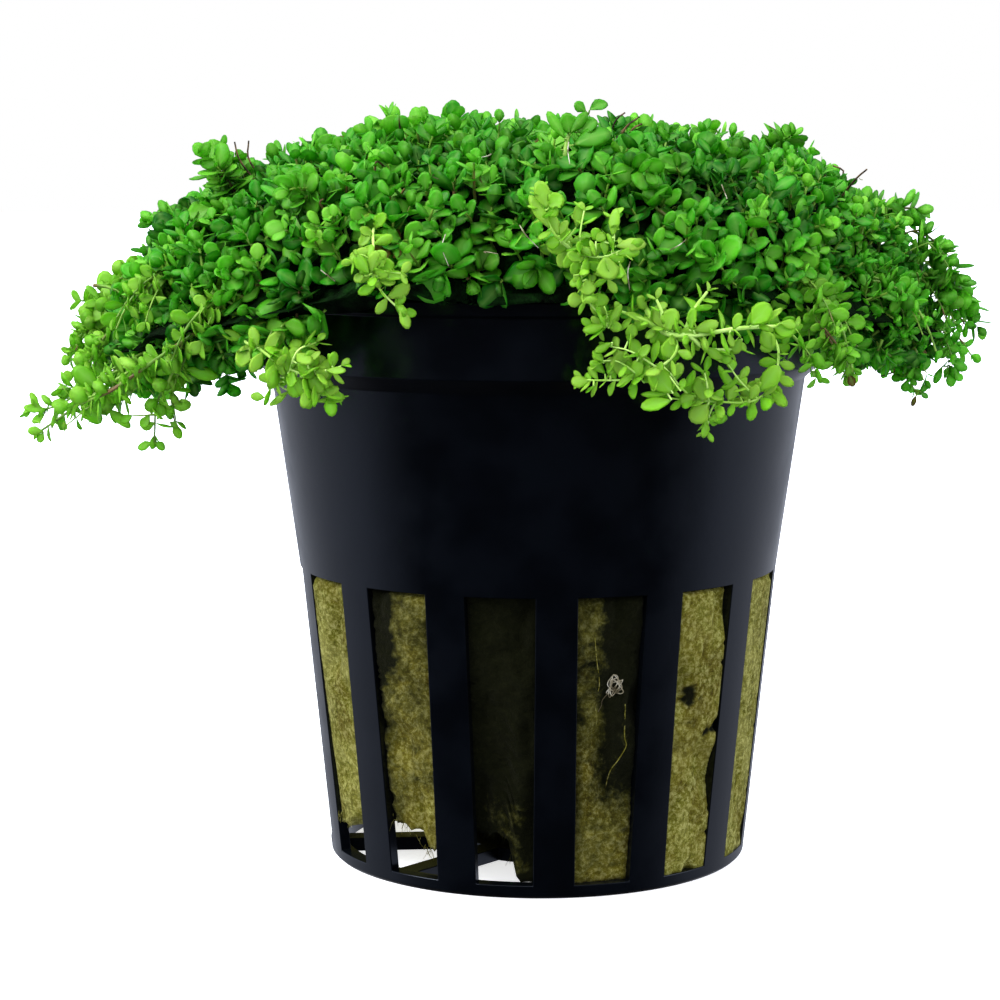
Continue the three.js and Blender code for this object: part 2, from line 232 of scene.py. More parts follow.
def living_leaf():
    """A living leaf: a waxy skin over flesh that lets light through, paler along its midrib. Old
    leaves are deep green, young ones yellow-green, and a few have withered brown."""
    material, tree = new_material("waxy_living_leaf")
    place = add_node(tree, "TexCoord")["Object"]
    tone = add_node(tree, "Attribute", attribute_name="tone")["Fac"]
    youth = add_node(tree, "Attribute", attribute_name="youth")["Fac"]
    rib = add_node(tree, "Attribute", attribute_name="rib")["Fac"]
    brown_to_green = [
        (0.0, "#6b5523"),
        (0.03, "#186608"),
        (0.35, "#2a9210"),
        (0.7, "#4cb41c"),
        (1.0, "#7ace34"),
    ]
    yellow_greens = [(0.0, "#62b01a"), (0.5, "#8ecb2a"), (1.0, "#a6cc4a")]
    old = add_node(tree, "ValToRGB", {"Fac": tone}, brown_to_green)["Color"]
    young = add_node(tree, "ValToRGB", {"Fac": tone}, yellow_greens)["Color"]
    blade = add_node(tree, "Mix", {0: youth, 6: old, 7: young}, data_type="RGBA")[2]
    paler = add_node(tree, "Math", {0: rib, 1: 0.45}, operation="MULTIPLY")[0]
    ribbed = {0: paler, 6: blade, 7: linear("#a6d468")}
    colour = add_node(tree, "Mix", ribbed, data_type="RGBA")[2]
    quilts = add_node(tree, "TexNoise", {"Vector": place, "Scale": lumps(0.6), "Detail": 2.0})["Fac"]
    raised = {"Strength": 0.6, "Distance": 0.12 * MM, "Height": quilts}
    wax = {
        "Base Color": colour,
        "Roughness": 0.38,
        "IOR": 1.42,
        "Specular IOR Level": 0.3,
        "Normal": add_node(tree, "Bump", raised)["Normal"],
    }
    skin = add_node(tree, "BsdfPrincipled", wax)["BSDF"]
    flesh = add_node(tree, "BsdfTranslucent", {"Color": colour})["BSDF"]
    return finished(material, add_node(tree, "MixShader", {0: 0.5, 1: skin, 2: flesh})["Shader"])


def thatch_painted_with_shade():
    """The tangle of old stems and leaves inside the cushion, painted nearly black with the shade that
    fills it: dull, dark green to brown.
    """
    material, tree = new_material("stem_thatch_painted_shade")
    place = add_node(tree, "TexCoord")["Object"]
    tangle = add_node(
        tree, "TexNoise", {"Vector": place, "Scale": lumps(1.8), "Detail": 4.0, "Roughness": 0.65}
    )["Fac"]
    # Painted shade: near-black greens that stand for the shade deep inside the cushion
    greens = [(0.35, "#020b01"), (0.55, "#061f03"), (0.75, "#103a08")]
    raised = {"Strength": 1.0, "Distance": 0.9 * MM, "Height": tangle}
    dull = {
        "Base Color": add_node(tree, "ValToRGB", {"Fac": tangle}, greens)["Color"],
        "Roughness": 0.9,
        "IOR": 1.4,
        "Specular IOR Level": 0.1,
        "Normal": add_node(tree, "Bump", raised)["Normal"],
    }
    return finished(material, add_node(tree, "BsdfPrincipled", dull)["BSDF"])


def blotched(name, size, detail, stops, finish):
    """A material whose colour runs through the stops in blotches of a size in millimetres. finish
    holds the other inputs of its shader."""
    material, tree = new_material(name)
    place = add_node(tree, "TexCoord")["Object"]
    spread = {"Vector": place, "Scale": lumps(size), "Detail": detail}
    blotches = add_node(tree, "TexNoise", spread)["Fac"]
    colour = add_node(tree, "ValToRGB", {"Fac": blotches}, stops)["Color"]
    skin = {"Base Color": colour, **finish}
    return finished(material, add_node(tree, "BsdfPrincipled", skin)["BSDF"])


def green_stem():
    """A thin fleshy stem: smooth, yellow-green, blushed with brown in places."""
    stops = [(0.34, "#6e5631"), (0.42, "#588322"), (0.62, "#83aa3c")]
    return blotched("fleshy_green_stem", 3.0, 2.0, stops, {"Roughness": 0.4, "IOR": 1.42})


def young_stem():
    """A new stem in full light: fleshy and smooth, nearly yellow."""
    stops = [(0.4, "#9cc94c"), (0.6, "#c2e57a")]
    finish = {"Roughness": 0.4, "IOR": 1.42, "Specular IOR Level": 0.3}
    return blotched("pale_young_stem", 2.0, 2.0, stops, finish)


def root_fibre():
    """A bare root: a dull, off-white skin with brown stretches."""
    stops = [(0.4, "#54492f"), (0.5, "#8d846a"), (0.6, "#b5af9e")]
    return blotched("off_white_root", 1.0, 3.0, stops, {"Roughness": 0.6, "IOR": 1.4})


def withered_stalk():
    """A stalk that has dried out: dull brown, nearly black where it has rotted."""
    stops = [(0.4, "#2a1c0e"), (0.6, "#6d5230")]
    return blotched("dry_brown_stalk", 0.8, 3.0, stops, {"Roughness": 0.8, "IOR": 1.4})


# Making pieces


def turned(profile, steps):
    """A mesh of (radius, height) points spun once round the Z axis, starting at the front."""
    bm = bmesh.new()
    verts = [bm.verts.new((0, -radius, height)) for radius, height in profile]
    edges = [bm.edges.new(pair) for pair in zip(verts, verts[1:])]
    bmesh.ops.spin(
        bm, geom=verts + edges, axis=(0, 0, 1), angle=math.tau, steps=steps, use_merge=True
    )
    bmesh.ops.remove_doubles(bm, verts=bm.verts[:], dist=1e-4)
    bmesh.ops.recalc_face_normals(bm, faces=bm.faces[:])
    return bm


def scaled(bm, factor):
    bmesh.ops.scale(bm, vec=(factor, factor, factor), verts=bm.verts[:])


def take_in(bm, mesh, material_index=0):
    """Moves a spare mesh into a bmesh, its faces with the material of the given number."""
    faces_before = len(bm.faces)
    bm.from_mesh(mesh)
    bpy.data.meshes.remove(mesh)
    bm.faces.ensure_lookup_table()
    for face in bm.faces[faces_before:]:
        face.material_index = material_index


def piece(name, bm, materials, node):
    """A finished object from a mesh in millimetres, which rides on the one body and stands for a
    node."""
    scaled(bm, MM)
    for face in bm.faces:
        face.smooth = True
    mesh = bpy.data.meshes.new(name)
    bm.to_mesh(mesh)
    bm.free()
    made = bpy.data.objects.new(name, mesh)
    bpy.context.collection.objects.link(made)
    for material in materials:
        mesh.materials.append(material)
    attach(made, "root")
    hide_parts(node)
    return made


def azimuth_of(point):
    return math.degrees(math.atan2(point.x, -point.y)) % 360


def outward(azimuth):
    angle = math.radians(azimuth)
    return Vector((math.sin(angle), -math.cos(angle), 0))


def smooth_step(value, low, high):
    t = min(max((value - low) / (high - low), 0), 1)
    return t * t * (3 - 2 * t)


def blend(a, b, t):
    return a + (b - a) * t


# The pot


def wall_radius(height):
    """The pot's outer radius, from its base to its lip."""
    heights = [0, SLOT_TOP, SHOULDER_HEIGHT, COLLAR_BOTTOM, POT_HEIGHT]
    radii = [BASE_RADIUS, WAIST_RADIUS, SHOULDER_RADIUS, COLLAR_RADIUS, COLLAR_RADIUS]
    return float(np.interp(height, heights, radii))


def regroup(azimuth, count, first, bar_share, bar_angle):
    """Moves a column of a ring of bars and gaps, so that each bar is bar_angle degrees wide and
    centred on first plus a whole number of pitches. bar_share is the part of a pitch's columns that a
    bar has."""
    pitch = 360 / count
    whole, share = divmod((azimuth - first) / pitch + bar_share / 2 + 1e-6, 1)
    if share < bar_share:
        offset = (share / bar_share - 0.5) * bar_angle
    else:
        offset = bar_angle / 2 + (share - bar_share) / (1 - bar_share) * (pitch - bar_angle)
    return first + whole * pitch + offset


def in_gap(azimuth, count, first, bar_share):
    """Whether the middle of a face lies between two bars."""
    return ((azimuth - first) * count / 360 + bar_share / 2) % 1 > bar_share


def pot_wall():
    """The wall, from the base to the lip, with its 14 slots left open and its thickness inwards."""
    columns = 16
    bar_share = 6 / columns
    lip_foot = POT_HEIGHT - LIP_HEIGHT
    profile = [
        (BASE_RADIUS - 0.35, 0),
        (wall_radius(0.35), 0.35),
        (wall_radius(BASE_THICKNESS), BASE_THICKNESS),
        (WAIST_RADIUS, SLOT_TOP),
        (SHOULDER_RADIUS, SHOULDER_HEIGHT),
        (COLLAR_RADIUS, COLLAR_BOTTOM),
        (COLLAR_RADIUS, lip_foot),
        (LIP_RADIUS, lip_foot + 0.2),
        (LIP_RADIUS, POT_HEIGHT),
    ]
    bm = turned(profile, SLOT_COUNT * columns)
    turn = Matrix.Rotation(math.radians(RIB_AZIMUTH - 180 * bar_share / SLOT_COUNT), 3, "Z")
    bmesh.ops.rotate(bm, matrix=turn, verts=bm.verts[:])
    open_faces = []
    for face in bm.faces:
        middle = face.calc_center_median()
        opening = in_gap(azimuth_of(middle), SLOT_COUNT, RIB_AZIMUTH, bar_share)
        if BASE_THICKNESS < middle.z < SLOT_TOP and opening:
            open_faces.append(face)
    bmesh.ops.delete(bm, geom=open_faces, context="FACES")
    for vert in bm.verts:
        radius = math.hypot(vert.co.x, vert.co.y)
        bar_angle = math.degrees(RIB_WIDTH / wall_radius(min(vert.co.z, SLOT_TOP)))
        azimuth = regroup(azimuth_of(vert.co), SLOT_COUNT, RIB_AZIMUTH, bar_share, bar_angle)
        vert.co = outward(azimuth) * radius + Vector((0, 0, vert.co.z))
    bmesh.ops.solidify(bm, geom=bm.faces[:], thickness=WALL)
    return bm


def pot_base():
    """The base: a hub, eight spokes and a ring, like a wheel."""
    columns = 14
    bar_share = 4 / columns
    radii = [0, HUB_RADIUS, 9, 13, BASE_HOLE_RADIUS, BASE_RADIUS - 0.6]
    bm = turned([(radius, 0) for radius in radii], SPOKE_COUNT * columns)
    turn = Matrix.Rotation(math.radians(SPOKE_AZIMUTH - 180 * bar_share / SPOKE_COUNT), 3, "Z")
    bmesh.ops.rotate(bm, matrix=turn, verts=bm.verts[:])
    open_faces = []
    for face in bm.faces:
        middle = face.calc_center_median()
        radius = math.hypot(middle.x, middle.y)
        opening = in_gap(azimuth_of(middle), SPOKE_COUNT, SPOKE_AZIMUTH, bar_share)
        if HUB_RADIUS < radius < BASE_HOLE_RADIUS and opening:
            open_faces.append(face)
    bmesh.ops.delete(bm, geom=open_faces, context="FACES")
    for vert in bm.verts:
        radius = math.hypot(vert.co.x, vert.co.y)
        if radius > HUB_RADIUS - 0.1:
            bar_angle = 2 * math.degrees(math.asin(SPOKE_WIDTH / 2 / radius))
            azimuth = regroup(azimuth_of(vert.co), SPOKE_COUNT, SPOKE_AZIMUTH, bar_share, bar_angle)
            vert.co = outward(azimuth) * radius
    bmesh.ops.recalc_face_normals(bm, faces=bm.faces[:])
    raised = bmesh.ops.extrude_face_region(bm, geom=bm.faces[:], use_keep_orig=True)
    tops = [item for item in raised["geom"] if isinstance(item, bmesh.types.BMVert)]
    bmesh.ops.translate(bm, vec=(0, 0, BASE_THICKNESS), verts=tops)
    bmesh.ops.recalc_face_normals(bm, faces=bm.faces[:])
    return bm


def joined(first, second):
    """Two meshes as one."""
    spare = bpy.data.meshes.new("spare")
    second.to_mesh(spare)
    second.free()
    take_in(first, spare)
    return first


def net_pot(plastic):
    bm = joined(pot_wall(), pot_base())
    made = piece("net_pot_moulding", bm, [plastic], "net_pot")
    bevel = made.modifiers.new("softened_edges", "BEVEL")
    bevel.width = 0.14 * MM
    bevel.segments = 2
    bevel.limit_method = "ANGLE"
    bevel.angle_limit = math.radians(32)
    bevel.harden_normals = True


# The wool


def slot_share(azimuth):
    """Which slot an azimuth is in, and how far across it lies, from 0 to 1 from rib to rib."""
    whole, share = divmod((azimuth - RIB_AZIMUTH) * SLOT_COUNT / 360, 1)
    return int(whole) % SLOT_COUNT, share


# Hollows in the wool, sunk and painted dark with shade, as (azimuth, height, reach)
HOLLOWS = [(40.4, 16.7, 1.1), (50.6, 13.6, 1.0), (47.2, 13.4, 0.6)]


def hollow(place):
    """How deep in a hollow a place on the wool lies, from 0 to 1. The hollows are painted dark with
    shade.
    """
    depth = 0
    for azimuth, height, reach in HOLLOWS:
        middle = outward(azimuth) * wall_radius(height) + Vector((0, 0, height))
        away = (place - middle).length + 0.7 * noise.noise(place * 1.6) + 0.4 * noise.noise(place * 4)
        depth = max(depth, 1 - smooth_step(away, 0.3 * reach, reach))
    return depth


def crease(place):
    """How deep in a crease a place on the wool lies, from 0 to 1. Creases wander and come and go."""
    wander = noise.noise(Vector((place.x * 0.3, place.y * 0.3, place.z * 0.42)))
    share = smooth_step(noise.noise(place * 0.22 + Vector((7, 0, 0))), -0.1, 0.25)
    return max(0, 1 - abs(wander) / 0.09) * share


def wool_radius(azimuth, height):
    """The plug's radius: pressed against the wall behind the ribs, and bulging into the slots."""
    wall = wall_radius(min(height, SHOULDER_HEIGHT))
    behind = wall - WALL - 0.12
    slot, share = slot_share(azimuth)
    pitch = 2 * math.pi * wall / SLOT_COUNT
    from_rib = min(share, 1 - share) * pitch - RIB_WIDTH / 2
    mouth = smooth_step(from_rib, -0.5, 0.0)
    mouth *= 1 - smooth_step(height, SLOT_TOP - 0.4, SLOT_TOP + 0.2)
    place = outward(azimuth) * wall + Vector((0, 0, height))
    coarse = noise.noise(place * 0.28) * 0.35 + noise.noise(place * 0.8) * 0.2
    fine = noise.noise(place * 2.2) * 0.16 + noise.noise(place * 4.5) * 0.1
    folds = noise.noise(Vector((place.x * 0.5, place.y * 0.5, place.z * 0.14 + 9)))
    sunk = max(0, folds - 0.22) * 2.2 + 0.25 * crease(place) + 0.4 * hollow(place)
    radius = behind - 0.1 + mouth * SLOT_BULGE[slot] * WALL * 1.15 + coarse + fine
    return min(radius, behind + mouth * WALL * 1.05) - sunk


def wool_stain_and_shade(azimuth, height):
    """How dark the wool is, partly stain and partly painted shade: by slot, with painted shade in the
    front slots, darker towards the top, painted shade beside the ribs and in creases and hollows,
    darker in the right half of the slot right of the front rib, and a painted shadow of the rib at
    the left of the second slot left of it."""
    slot, share = slot_share(azimuth)
    place = outward(azimuth) * wall_radius(height) + Vector((0, 0, height))
    stain_and_shade = SLOT_STAIN_AND_SHADE[slot] * (0.6 + 0.4 * height / SLOT_TOP) + 0.35 * noise.noise(place * 0.35)
    if slot == 0:
        stain_and_shade += 0.6 * smooth_step(share, 0.35, 0.55) * smooth_step(height, 4, 13)
    # Painted shadow: the rib's shadow over the left and top of this slot, painted into the wool
    if slot == 12:
        corner = smooth_step(height, 15, 21)
        edge = share + 0.12 * noise.noise(place * 1.3)
        beside = 1 - smooth_step(edge, 0.08 + 0.1 * corner, 0.45 + 0.15 * corner)
        stain_and_shade += (0.45 + 0.5 * corner) * beside
    # Painted shade: darker beside the ribs, where the wool lies sunk behind them
    stain_and_shade += 0.5 * smooth_step(0.5 - min(share, 1 - share), 0.22, 0.42) * (1 - SLOT_BULGE[slot])
    # Painted shade in the hollows and the creases
    return stain_and_shade + 1.4 * hollow(place) + 0.3 * crease(place)


def torn_lift(x, y):
    """How far the plug's underside is torn away upwards: left of the front rib, but for a tuft that
    hangs down there, and less towards the back."""
    ragged = 0.9 * noise.noise(Vector((x, y, 0)) * 0.5) + 0.5 * noise.noise(Vector((x, y, 3)) * 2.6)
    lift = min(WOOL_NOTCH, max(0, 1.2 - 0.24 * y)) * (1 - smooth_step(x, -2.9, -1.6))
    tuft = smooth_step(x, -10.4, -9.2) * (1 - smooth_step(x, -8.7, -7.8))
    tuft *= 1 - smooth_step(y, -13, -11)
    return max(0, lift + ragged * min(lift, 1) - 1.9 * tuft)


def wool_plug(wool):
    """The plug of felted wool, torn away at one side below."""
    inner = 14
    columns = 22
    heights = [*np.linspace(WOOL_FLOOR, SLOT_TOP + 0.8, 76), *np.linspace(28, WOOL_TOP, 8)]
    below = [(0, WOOL_FLOOR), (8, WOOL_FLOOR), (inner, WOOL_FLOOR)]
    side = [(wall_radius(min(h, SHOULDER_HEIGHT)), h) for h in heights]
    bm = turned([*below, *side, (12, WOOL_TOP), (0, WOOL_TOP)], SLOT_COUNT * columns)
    for vert in bm.verts:
        x, y, z = vert.co
        radius = math.hypot(x, y)
        if radius > inner + 1:
            direction = Vector((x, y, 0)) / radius
            vert.co = direction * wool_radius(azimuth_of(vert.co), z) + Vector((0, 0, z))
        vert.co.z += torn_lift(x, y) * (1 - smooth_step(z, WOOL_FLOOR, WOOL_TOP * 0.5))
    stain_and_shade = [wool_stain_and_shade(azimuth_of(vert.co), vert.co.z) for vert in bm.verts]
    plug = piece("wool_plug_felt", bm, [wool], "wool_plug")
    plug.data.attributes.new("stain_and_shade", "FLOAT", "POINT").data.foreach_set("value", stain_and_shade)


def loose_fibres(rng):
    """Short fibres that stand off the wool in the slots and hang from its torn edge."""
    fibres = Spray()
    for _ in range(FIBRE_COUNT):
        azimuth = rng.uniform(0, 360)
        edge = outward(azimuth) * (BASE_RADIUS - 0.6)
        lift = torn_lift(edge.x, edge.y)
        low_edge = WOOL_FLOOR + lift
        fringe = lift > 1 and rng.random() < 0.75
        above = rng.uniform(0.1, 0.5) if fringe else rng.uniform(0.6, SLOT_TOP - low_edge - 1)
        height = low_edge + above
        share = slot_share(azimuth)[1]
        from_rib = min(share, 1 - share) * math.tau * wall_radius(height) / SLOT_COUNT
        if from_rib < RIB_WIDTH / 2 + 0.25:
            continue
        start = on_wool(azimuth, height, -0.02)
        sideways = outward(azimuth + 90)
        along = sideways * rng.normal(0, 0.35) + Vector((0, 0, rng.normal(-0.2, 0.35)))
        if fringe:
            along = Vector((0, 0, -rng.uniform(0.2, 0.9))) + sideways * rng.normal(0, 0.25)
        lifted = outward(azimuth) * rng.uniform(0.0, 0.1)
        bow = Vector(rng.normal(0, 0.1, 3))
        line = arc(start, start + along * 0.5 + lifted + bow, start + along, 4)
        fibres.stem(line, 0.022, 0.014)
    return fibres


def wool_fibres(wool, root, rng):
    """The loose fibres, the long stray strands and the knotted root, all lying on the wool."""
    fibres = loose_fibres(rng)
    strays = Spray()
    for route in STRAY_STRANDS:
        line = smooth_line([on_wool(*place, 0.02) for place in route], 4 * len(route))
        strays.stem(line, 0.05, 0.035)
    knot = Spray()
    knot.stem(smooth_line(knotted_root(), 150), 0.045, 0.03)
    bm = bmesh.new()
    stain_and_shade = []
    for part, roundness, material_index in ((fibres, 0, 0), (strays, 0, 0), (knot, 1, 1)):
        mesh = part.stem_mesh(roundness)
        if part is fibres:
            stain_and_shade += [wool_stain_and_shade(azimuth_of(vert.co), vert.co.z / MM) for vert in mesh.vertices]
        else:
            stain_and_shade += [STRAY_STAIN] * len(mesh.vertices)
        take_in(bm, mesh, material_index)
    scaled(bm, 1 / MM)
    made = piece("wool_fibres", bm, [wool, root], "wool_plug")
    made.data.attributes.new("stain_and_shade", "FLOAT", "POINT").data.foreach_set("value", stain_and_shade)


def knotted_root():
    """The places along a dead root, knotted up on the wool right of the front rib, to its tail."""
    tangle = np.random.default_rng(5)
    places = []
    for k in range(26):
        angle = 1.5 * k + tangle.uniform(-0.9, 0.9)
        reach = tangle.uniform(0.4, 1.1)
        azimuth = 18.6 + 2.1 * reach * math.cos(angle)
        height = 18.2 + 0.95 * reach * math.sin(angle)
        places.append(on_wool(azimuth, height, tangle.uniform(0.05, 0.4)))
    tail = [(16.3, 17.2, 0.1), (16.0, 16.5, 0.05), (15.3, 16.0, 0.05)]
    return places + [on_wool(*place) for place in tail]


def on_wool(azimuth, height, lift):
    """A place on the wool, lifted off it."""
    return outward(azimuth) * (wool_radius(azimuth, height) + lift) + Vector((0, 0, height))


# Long strands of wool in the slot right of the front rib, as (azimuth, height) places
STRAY_STRANDS = [
    [(13.6, 22.4), (14.1, 20.6), (14.9, 18.4), (14.2, 16.9), (15.0, 15.3), (14.4, 14.0)],
    [
        (21.7, 16.6),
        (21.9, 15.5),
        (21.9, 13.8),
        (22.3, 13.0),
        (20.2, 11.9),
        (18.6, 10.9),
        (18.2, 9.4),
        (18, 8.2),
    ],
]


# The mat's form, as the solid has it


def mat_reach(azimuth):
    a = math.radians(azimuth)
    return 33.3 - 3.6 * math.cos(a) - 1.25 * math.sin(a) - 2.9 * math.cos(2 * a)


def mat_edge(azimuth):
    a = math.radians(azimuth)
    return 45.6 + 3 * math.cos(a) + 0.75 * math.sin(a) + 2.4 * math.cos(2 * a)


def on_mat(azimuth, climb):
    """A point on the mat's outer surface. climb runs from 0 at the edge to 1 at the crown."""
    a = climb * math.pi / 2
    power = 2 / MAT_ROUNDNESS
    edge = mat_edge(azimuth)
    point = outward(azimuth) * mat_reach(azimuth) * math.cos(a) ** power
    point.z = edge + (MAT_CROWN - edge) * math.sin(a) ** power
    return point


# Stems and leaves


# How far the sides and the tip of each kind of leaf rise, and how far it bends sideways, as shares of
# its length
LEAF_KINDS = [(-0.1, -0.14, 0.05), (0.12, -0.06, -0.07), (0.03, 0.08, 0.02), (-0.03, -0.26, -0.03)]

# For a stem's last pair of leaves, the pair before it and all the others: their size as a share, and
# how many degrees they lean forwards, in the open and where they turn to the light
PAIR_SIZES = (0.7, 0.92, 1.0)
PAIR_LEANS = (62, 44, 28)
LIT_PAIR_LEANS = (48, 30, 18)


def leaf_blades():
    """The kinds of leaf, each of unit length along +X with its face to +Z: ovate and rounded at the
    tip, plump, with a sunk midrib and a flat underside. Gives the corners of each kind, the
    triangles, and how near the midrib each corner is."""
    bm = bmesh.new()
    bmesh.ops.create_uvsphere(bm, u_segments=12, v_segments=4, radius=1)
    below = [vert for vert in bm.verts if vert.co.z < -0.1]
    bmesh.ops.pointmerge(bm, verts=below, merge_co=(0, 0, -1))
    bmesh.ops.triangulate(bm, faces=bm.faces[:])
    bmesh.ops.recalc_face_normals(bm, faces=bm.faces[:])
    kinds = []
    for sides, tip, bend in LEAF_KINDS:
        corners = []
        for vert in bm.verts:
            x, y, z = vert.co
            along = 0.5 + 0.5 * x
            half_width = 0.5 * LEAF_WIDTH / LEAF_LENGTH * (0.42 + 0.58 * smooth_step(along, 0, 0.5))
            rise = sides * y * y + tip * along * along
            if z > 0:
                rise -= 0.016 * (1 - min(abs(y) * 3, 1))
            across = y * half_width + bend * along * along
            corners.append((along, across, rise + z * 0.5 * LEAF_THICKNESS / LEAF_LENGTH))
        kinds.append(corners)
    ribs = [(1 - min(abs(vert.co.y) * 3, 1)) * (0.7 - 0.3 * vert.co.x) for vert in bm.verts]
    faces = [[vert.index for vert in face.verts] for face in bm.faces]
    bm.free()
    return np.array(kinds), np.array(faces), np.array(ribs)


LEAF_CORNERS, LEAF_FACES, LEAF_RIBS = leaf_blades()


class Spray:
    """Stems and leaves that become one piece."""

    def __init__(self):
        self.stems = []
        self.leaves = []

    def stem(self, points, thick, thin):
        self.stems.append((points, thick, thin))

    def leaf(self, point, direction, face, length, width, tone, youth, kind):
        """A leaf from a point along a direction, its upper side towards face. A tone below -0.5 is a
        withered leaf."""
        across = face.cross(direction).normalized()
        up = direction.cross(across).normalized()
        placed = (point, direction * length, across * length * width, up * length)
        self.leaves.append((*placed, 0 if tone < -0.5 else max(tone, 0.05), youth, kind))

    def leaf_mesh(self):
        """All the leaves as one mesh in metres, from copies of the few kinds of leaf."""
        frames = np.array([[tuple(v) for v in leaf[:4]] for leaf in self.leaves])
        kinds = [leaf[6] for leaf in self.leaves]
        spots = np.einsum("ncx,nxk->nck", LEAF_CORNERS[kinds], frames[:, 1:]) + frames[:, None, 0]
        count = len(self.leaves)
        corner_count = len(LEAF_RIBS)
        faces = LEAF_FACES[None] + np.arange(count)[:, None, None] * corner_count
        mesh = bpy.data.meshes.new("leaves")
        mesh.from_pydata((spots.reshape(-1, 3) * MM).tolist(), [], faces.reshape(-1, 3).tolist())
        values = {
            "tone": np.repeat([leaf[4] for leaf in self.leaves], corner_count),
            "youth": np.repeat([leaf[5] for leaf in self.leaves], corner_count),
            "rib": np.tile(LEAF_RIBS, count),
        }
        for name, data in values.items():
            mesh.attributes.new(name, "FLOAT", "POINT").data.foreach_set("value", data)
        return mesh

    def stem_mesh(self, roundness):
        """All the stems as one mesh in metres, from a curve with a round section."""
        curve = bpy.data.curves.new("stems", "CURVE")
        curve.dimensions = "3D"
        curve.bevel_depth = MM
        curve.bevel_resolution = roundness
        curve.use_fill_caps = True
        for points, thick, thin in self.stems:
            spline = curve.splines.new("POLY")
            spline.points.add(len(points) - 1)
            for i, point in enumerate(points):
                spline.points[i].co = (*(point * MM), 1)
                spline.points[i].radius = blend(thick, thin, i / (len(points) - 1))
        holder = bpy.data.objects.new("stems", curve)
        bpy.context.collection.objects.link(holder)
        bpy.context.view_layer.update()
        graph = bpy.context.evaluated_depsgraph_get()
        mesh = bpy.data.meshes.new_from_object(holder.evaluated_get(graph))
        bpy.data.objects.remove(holder)
        bpy.data.curves.remove(curve)
        return mesh

    def piece(self, name, materials, slot_name, node, roundness=1):
        """The leaves and the stems as one piece, of a leaf material and a stem material."""
        bm = bmesh.new()
        take_in(bm, self.leaf_mesh(), 0)
        take_in(bm, self.stem_mesh(roundness), 1)
        scaled(bm, 1 / MM)
        piece(name, bm, materials, node)


def arc(start, middle, end, count):
    """Points along a quadratic Bezier curve."""
    steps = np.linspace(0, 1, count)
    return [start * (1 - t) ** 2 + middle * 2 * t * (1 - t) + end * t * t for t in steps]


def smooth_line(points, count):
    """Points along a Catmull-Rom curve through the given ones."""
    ends = [points[0] * 2 - points[1], *points, points[-1] * 2 - points[-2]]
    line = []
    for step in np.linspace(0, len(points) - 1 - 1e-9, count):
        i, t = int(step), step % 1
        a, b, c, d = ends[i : i + 4]
        bend = 2 * a - 5 * b + 4 * c - d
        twist = 3 * b - a - 3 * c + d
        line.append(0.5 * (2 * b + (c - a) * t + bend * t * t + twist * t**3))
    return line


def at_share(points, share):
    """The place and heading at a share of the way along a line of points."""
    reach = share * (len(points) - 1)
    i = min(int(reach), len(points) - 2)
    heading = (points[i + 1] - points[i]).normalized()
    return points[i].lerp(points[i + 1], reach - i), heading


def leafy_stem(
    spray, points, pairs, first, length, tone, youth, rng, radius=STEM_RADIUS, width=1.0, light=None
):
    """A stem with opposite pairs of leaves from the share first to its tip. Each pair is turned about
    a quarter from the last, and the last pairs are smaller and closer to the stem, so a tip is a
    small cup. Where light, a direction, is given, leaves turn their faces towards it and spread
    across it."""
    spray.stem(points, radius, radius * 0.55)
    turn = rng.uniform(0, math.pi)
    for pair in range(pairs):
        share = blend(first, 1.0, pair / max(pairs - 1, 1))
        point, heading = at_share(points, share)
        level = heading.cross(Vector((0, 0, 1)))
        if level.length < 0.1:
            level = Vector((1, 0, 0))
        level.normalize()
        from_tip = min(pairs - 1 - pair, 2)
        size = length * PAIR_SIZES[from_tip] * rng.uniform(0.78, 1.12)
        lean = (LIT_PAIR_LEANS if light else PAIR_LEANS)[from_tip] + rng.uniform(-14, 14)
        for half in (0, math.pi):
            around = turn + half + rng.uniform(-0.25, 0.25)
            side = Matrix.Rotation(around, 3, heading) @ level
            angle = math.radians(lean + rng.uniform(-8, 8))
            direction = side * math.cos(angle) + heading * math.sin(angle)
            face = heading * math.cos(angle) - side * math.sin(angle)
            face += Vector((0, 0, rng.uniform(0.0, 0.35)))
            if light:
                direction = (direction - light * direction.dot(light) * 0.5).normalized()
                face += light * rng.uniform(0.6, 2.0)
            shade = tone + rng.uniform(-0.28, 0.28)
            span = size * rng.uniform(0.8, 1.12)
            kind = rng.integers(len(LEAF_KINDS))
            breadth = width * rng.uniform(0.85, 1.15)
            spray.leaf(point, direction, face, span, breadth, shade, youth, kind)
        turn += math.pi / 2 + rng.uniform(-0.3, 0.3)


def pairs_along(points, first, spacing):
    """How many pairs of leaves, spacing apart, the stretch from the share first to the tip has."""
    length = sum((b - a).length for a, b in zip(points, points[1:]))
    return max(2, round(length * (1 - first) / spacing) + 1)


def creeping_line(azimuth, climb, heading, pitch, length, droop, count=9):
    """A stem that leaves the mat, heads off and sinks under its own weight, as its solid does."""
    start = on_mat(azimuth, climb)
    tilt = math.radians(pitch)
    course = outward(azimuth + heading) * math.cos(tilt) + Vector((0, 0, math.sin(tilt)))
    tip = start + course * length - Vector((0, 0, droop))
    line = arc(start - course * STEM_ROOT, start + course * length / 2, tip, count)
    return [start - outward(azimuth) * 6 + Vector((0, 0, 3.5 - 9 * climb)), *line]


def vary(thing, trait):
    """The steady value from -1 to 1 that the solids use for a thing's number and a trait's number."""
    spread = math.sin(thing * 12.9898 + trait * 78.233) * 43758.5453
    return 2 * (spread - math.floor(spread)) - 1


# The dome


def shoulder_dip(place):
    """How far the leaves at the two shoulders lie lower than on the mat's solid."""
    left = smooth_step(-place.x, 18, 26) * smooth_step(place.z, 49, 53)
    right = smooth_step(place.x, 22, 30) * smooth_step(place.z, 51, 55)
    return 1.1 * left + 0.6 * right


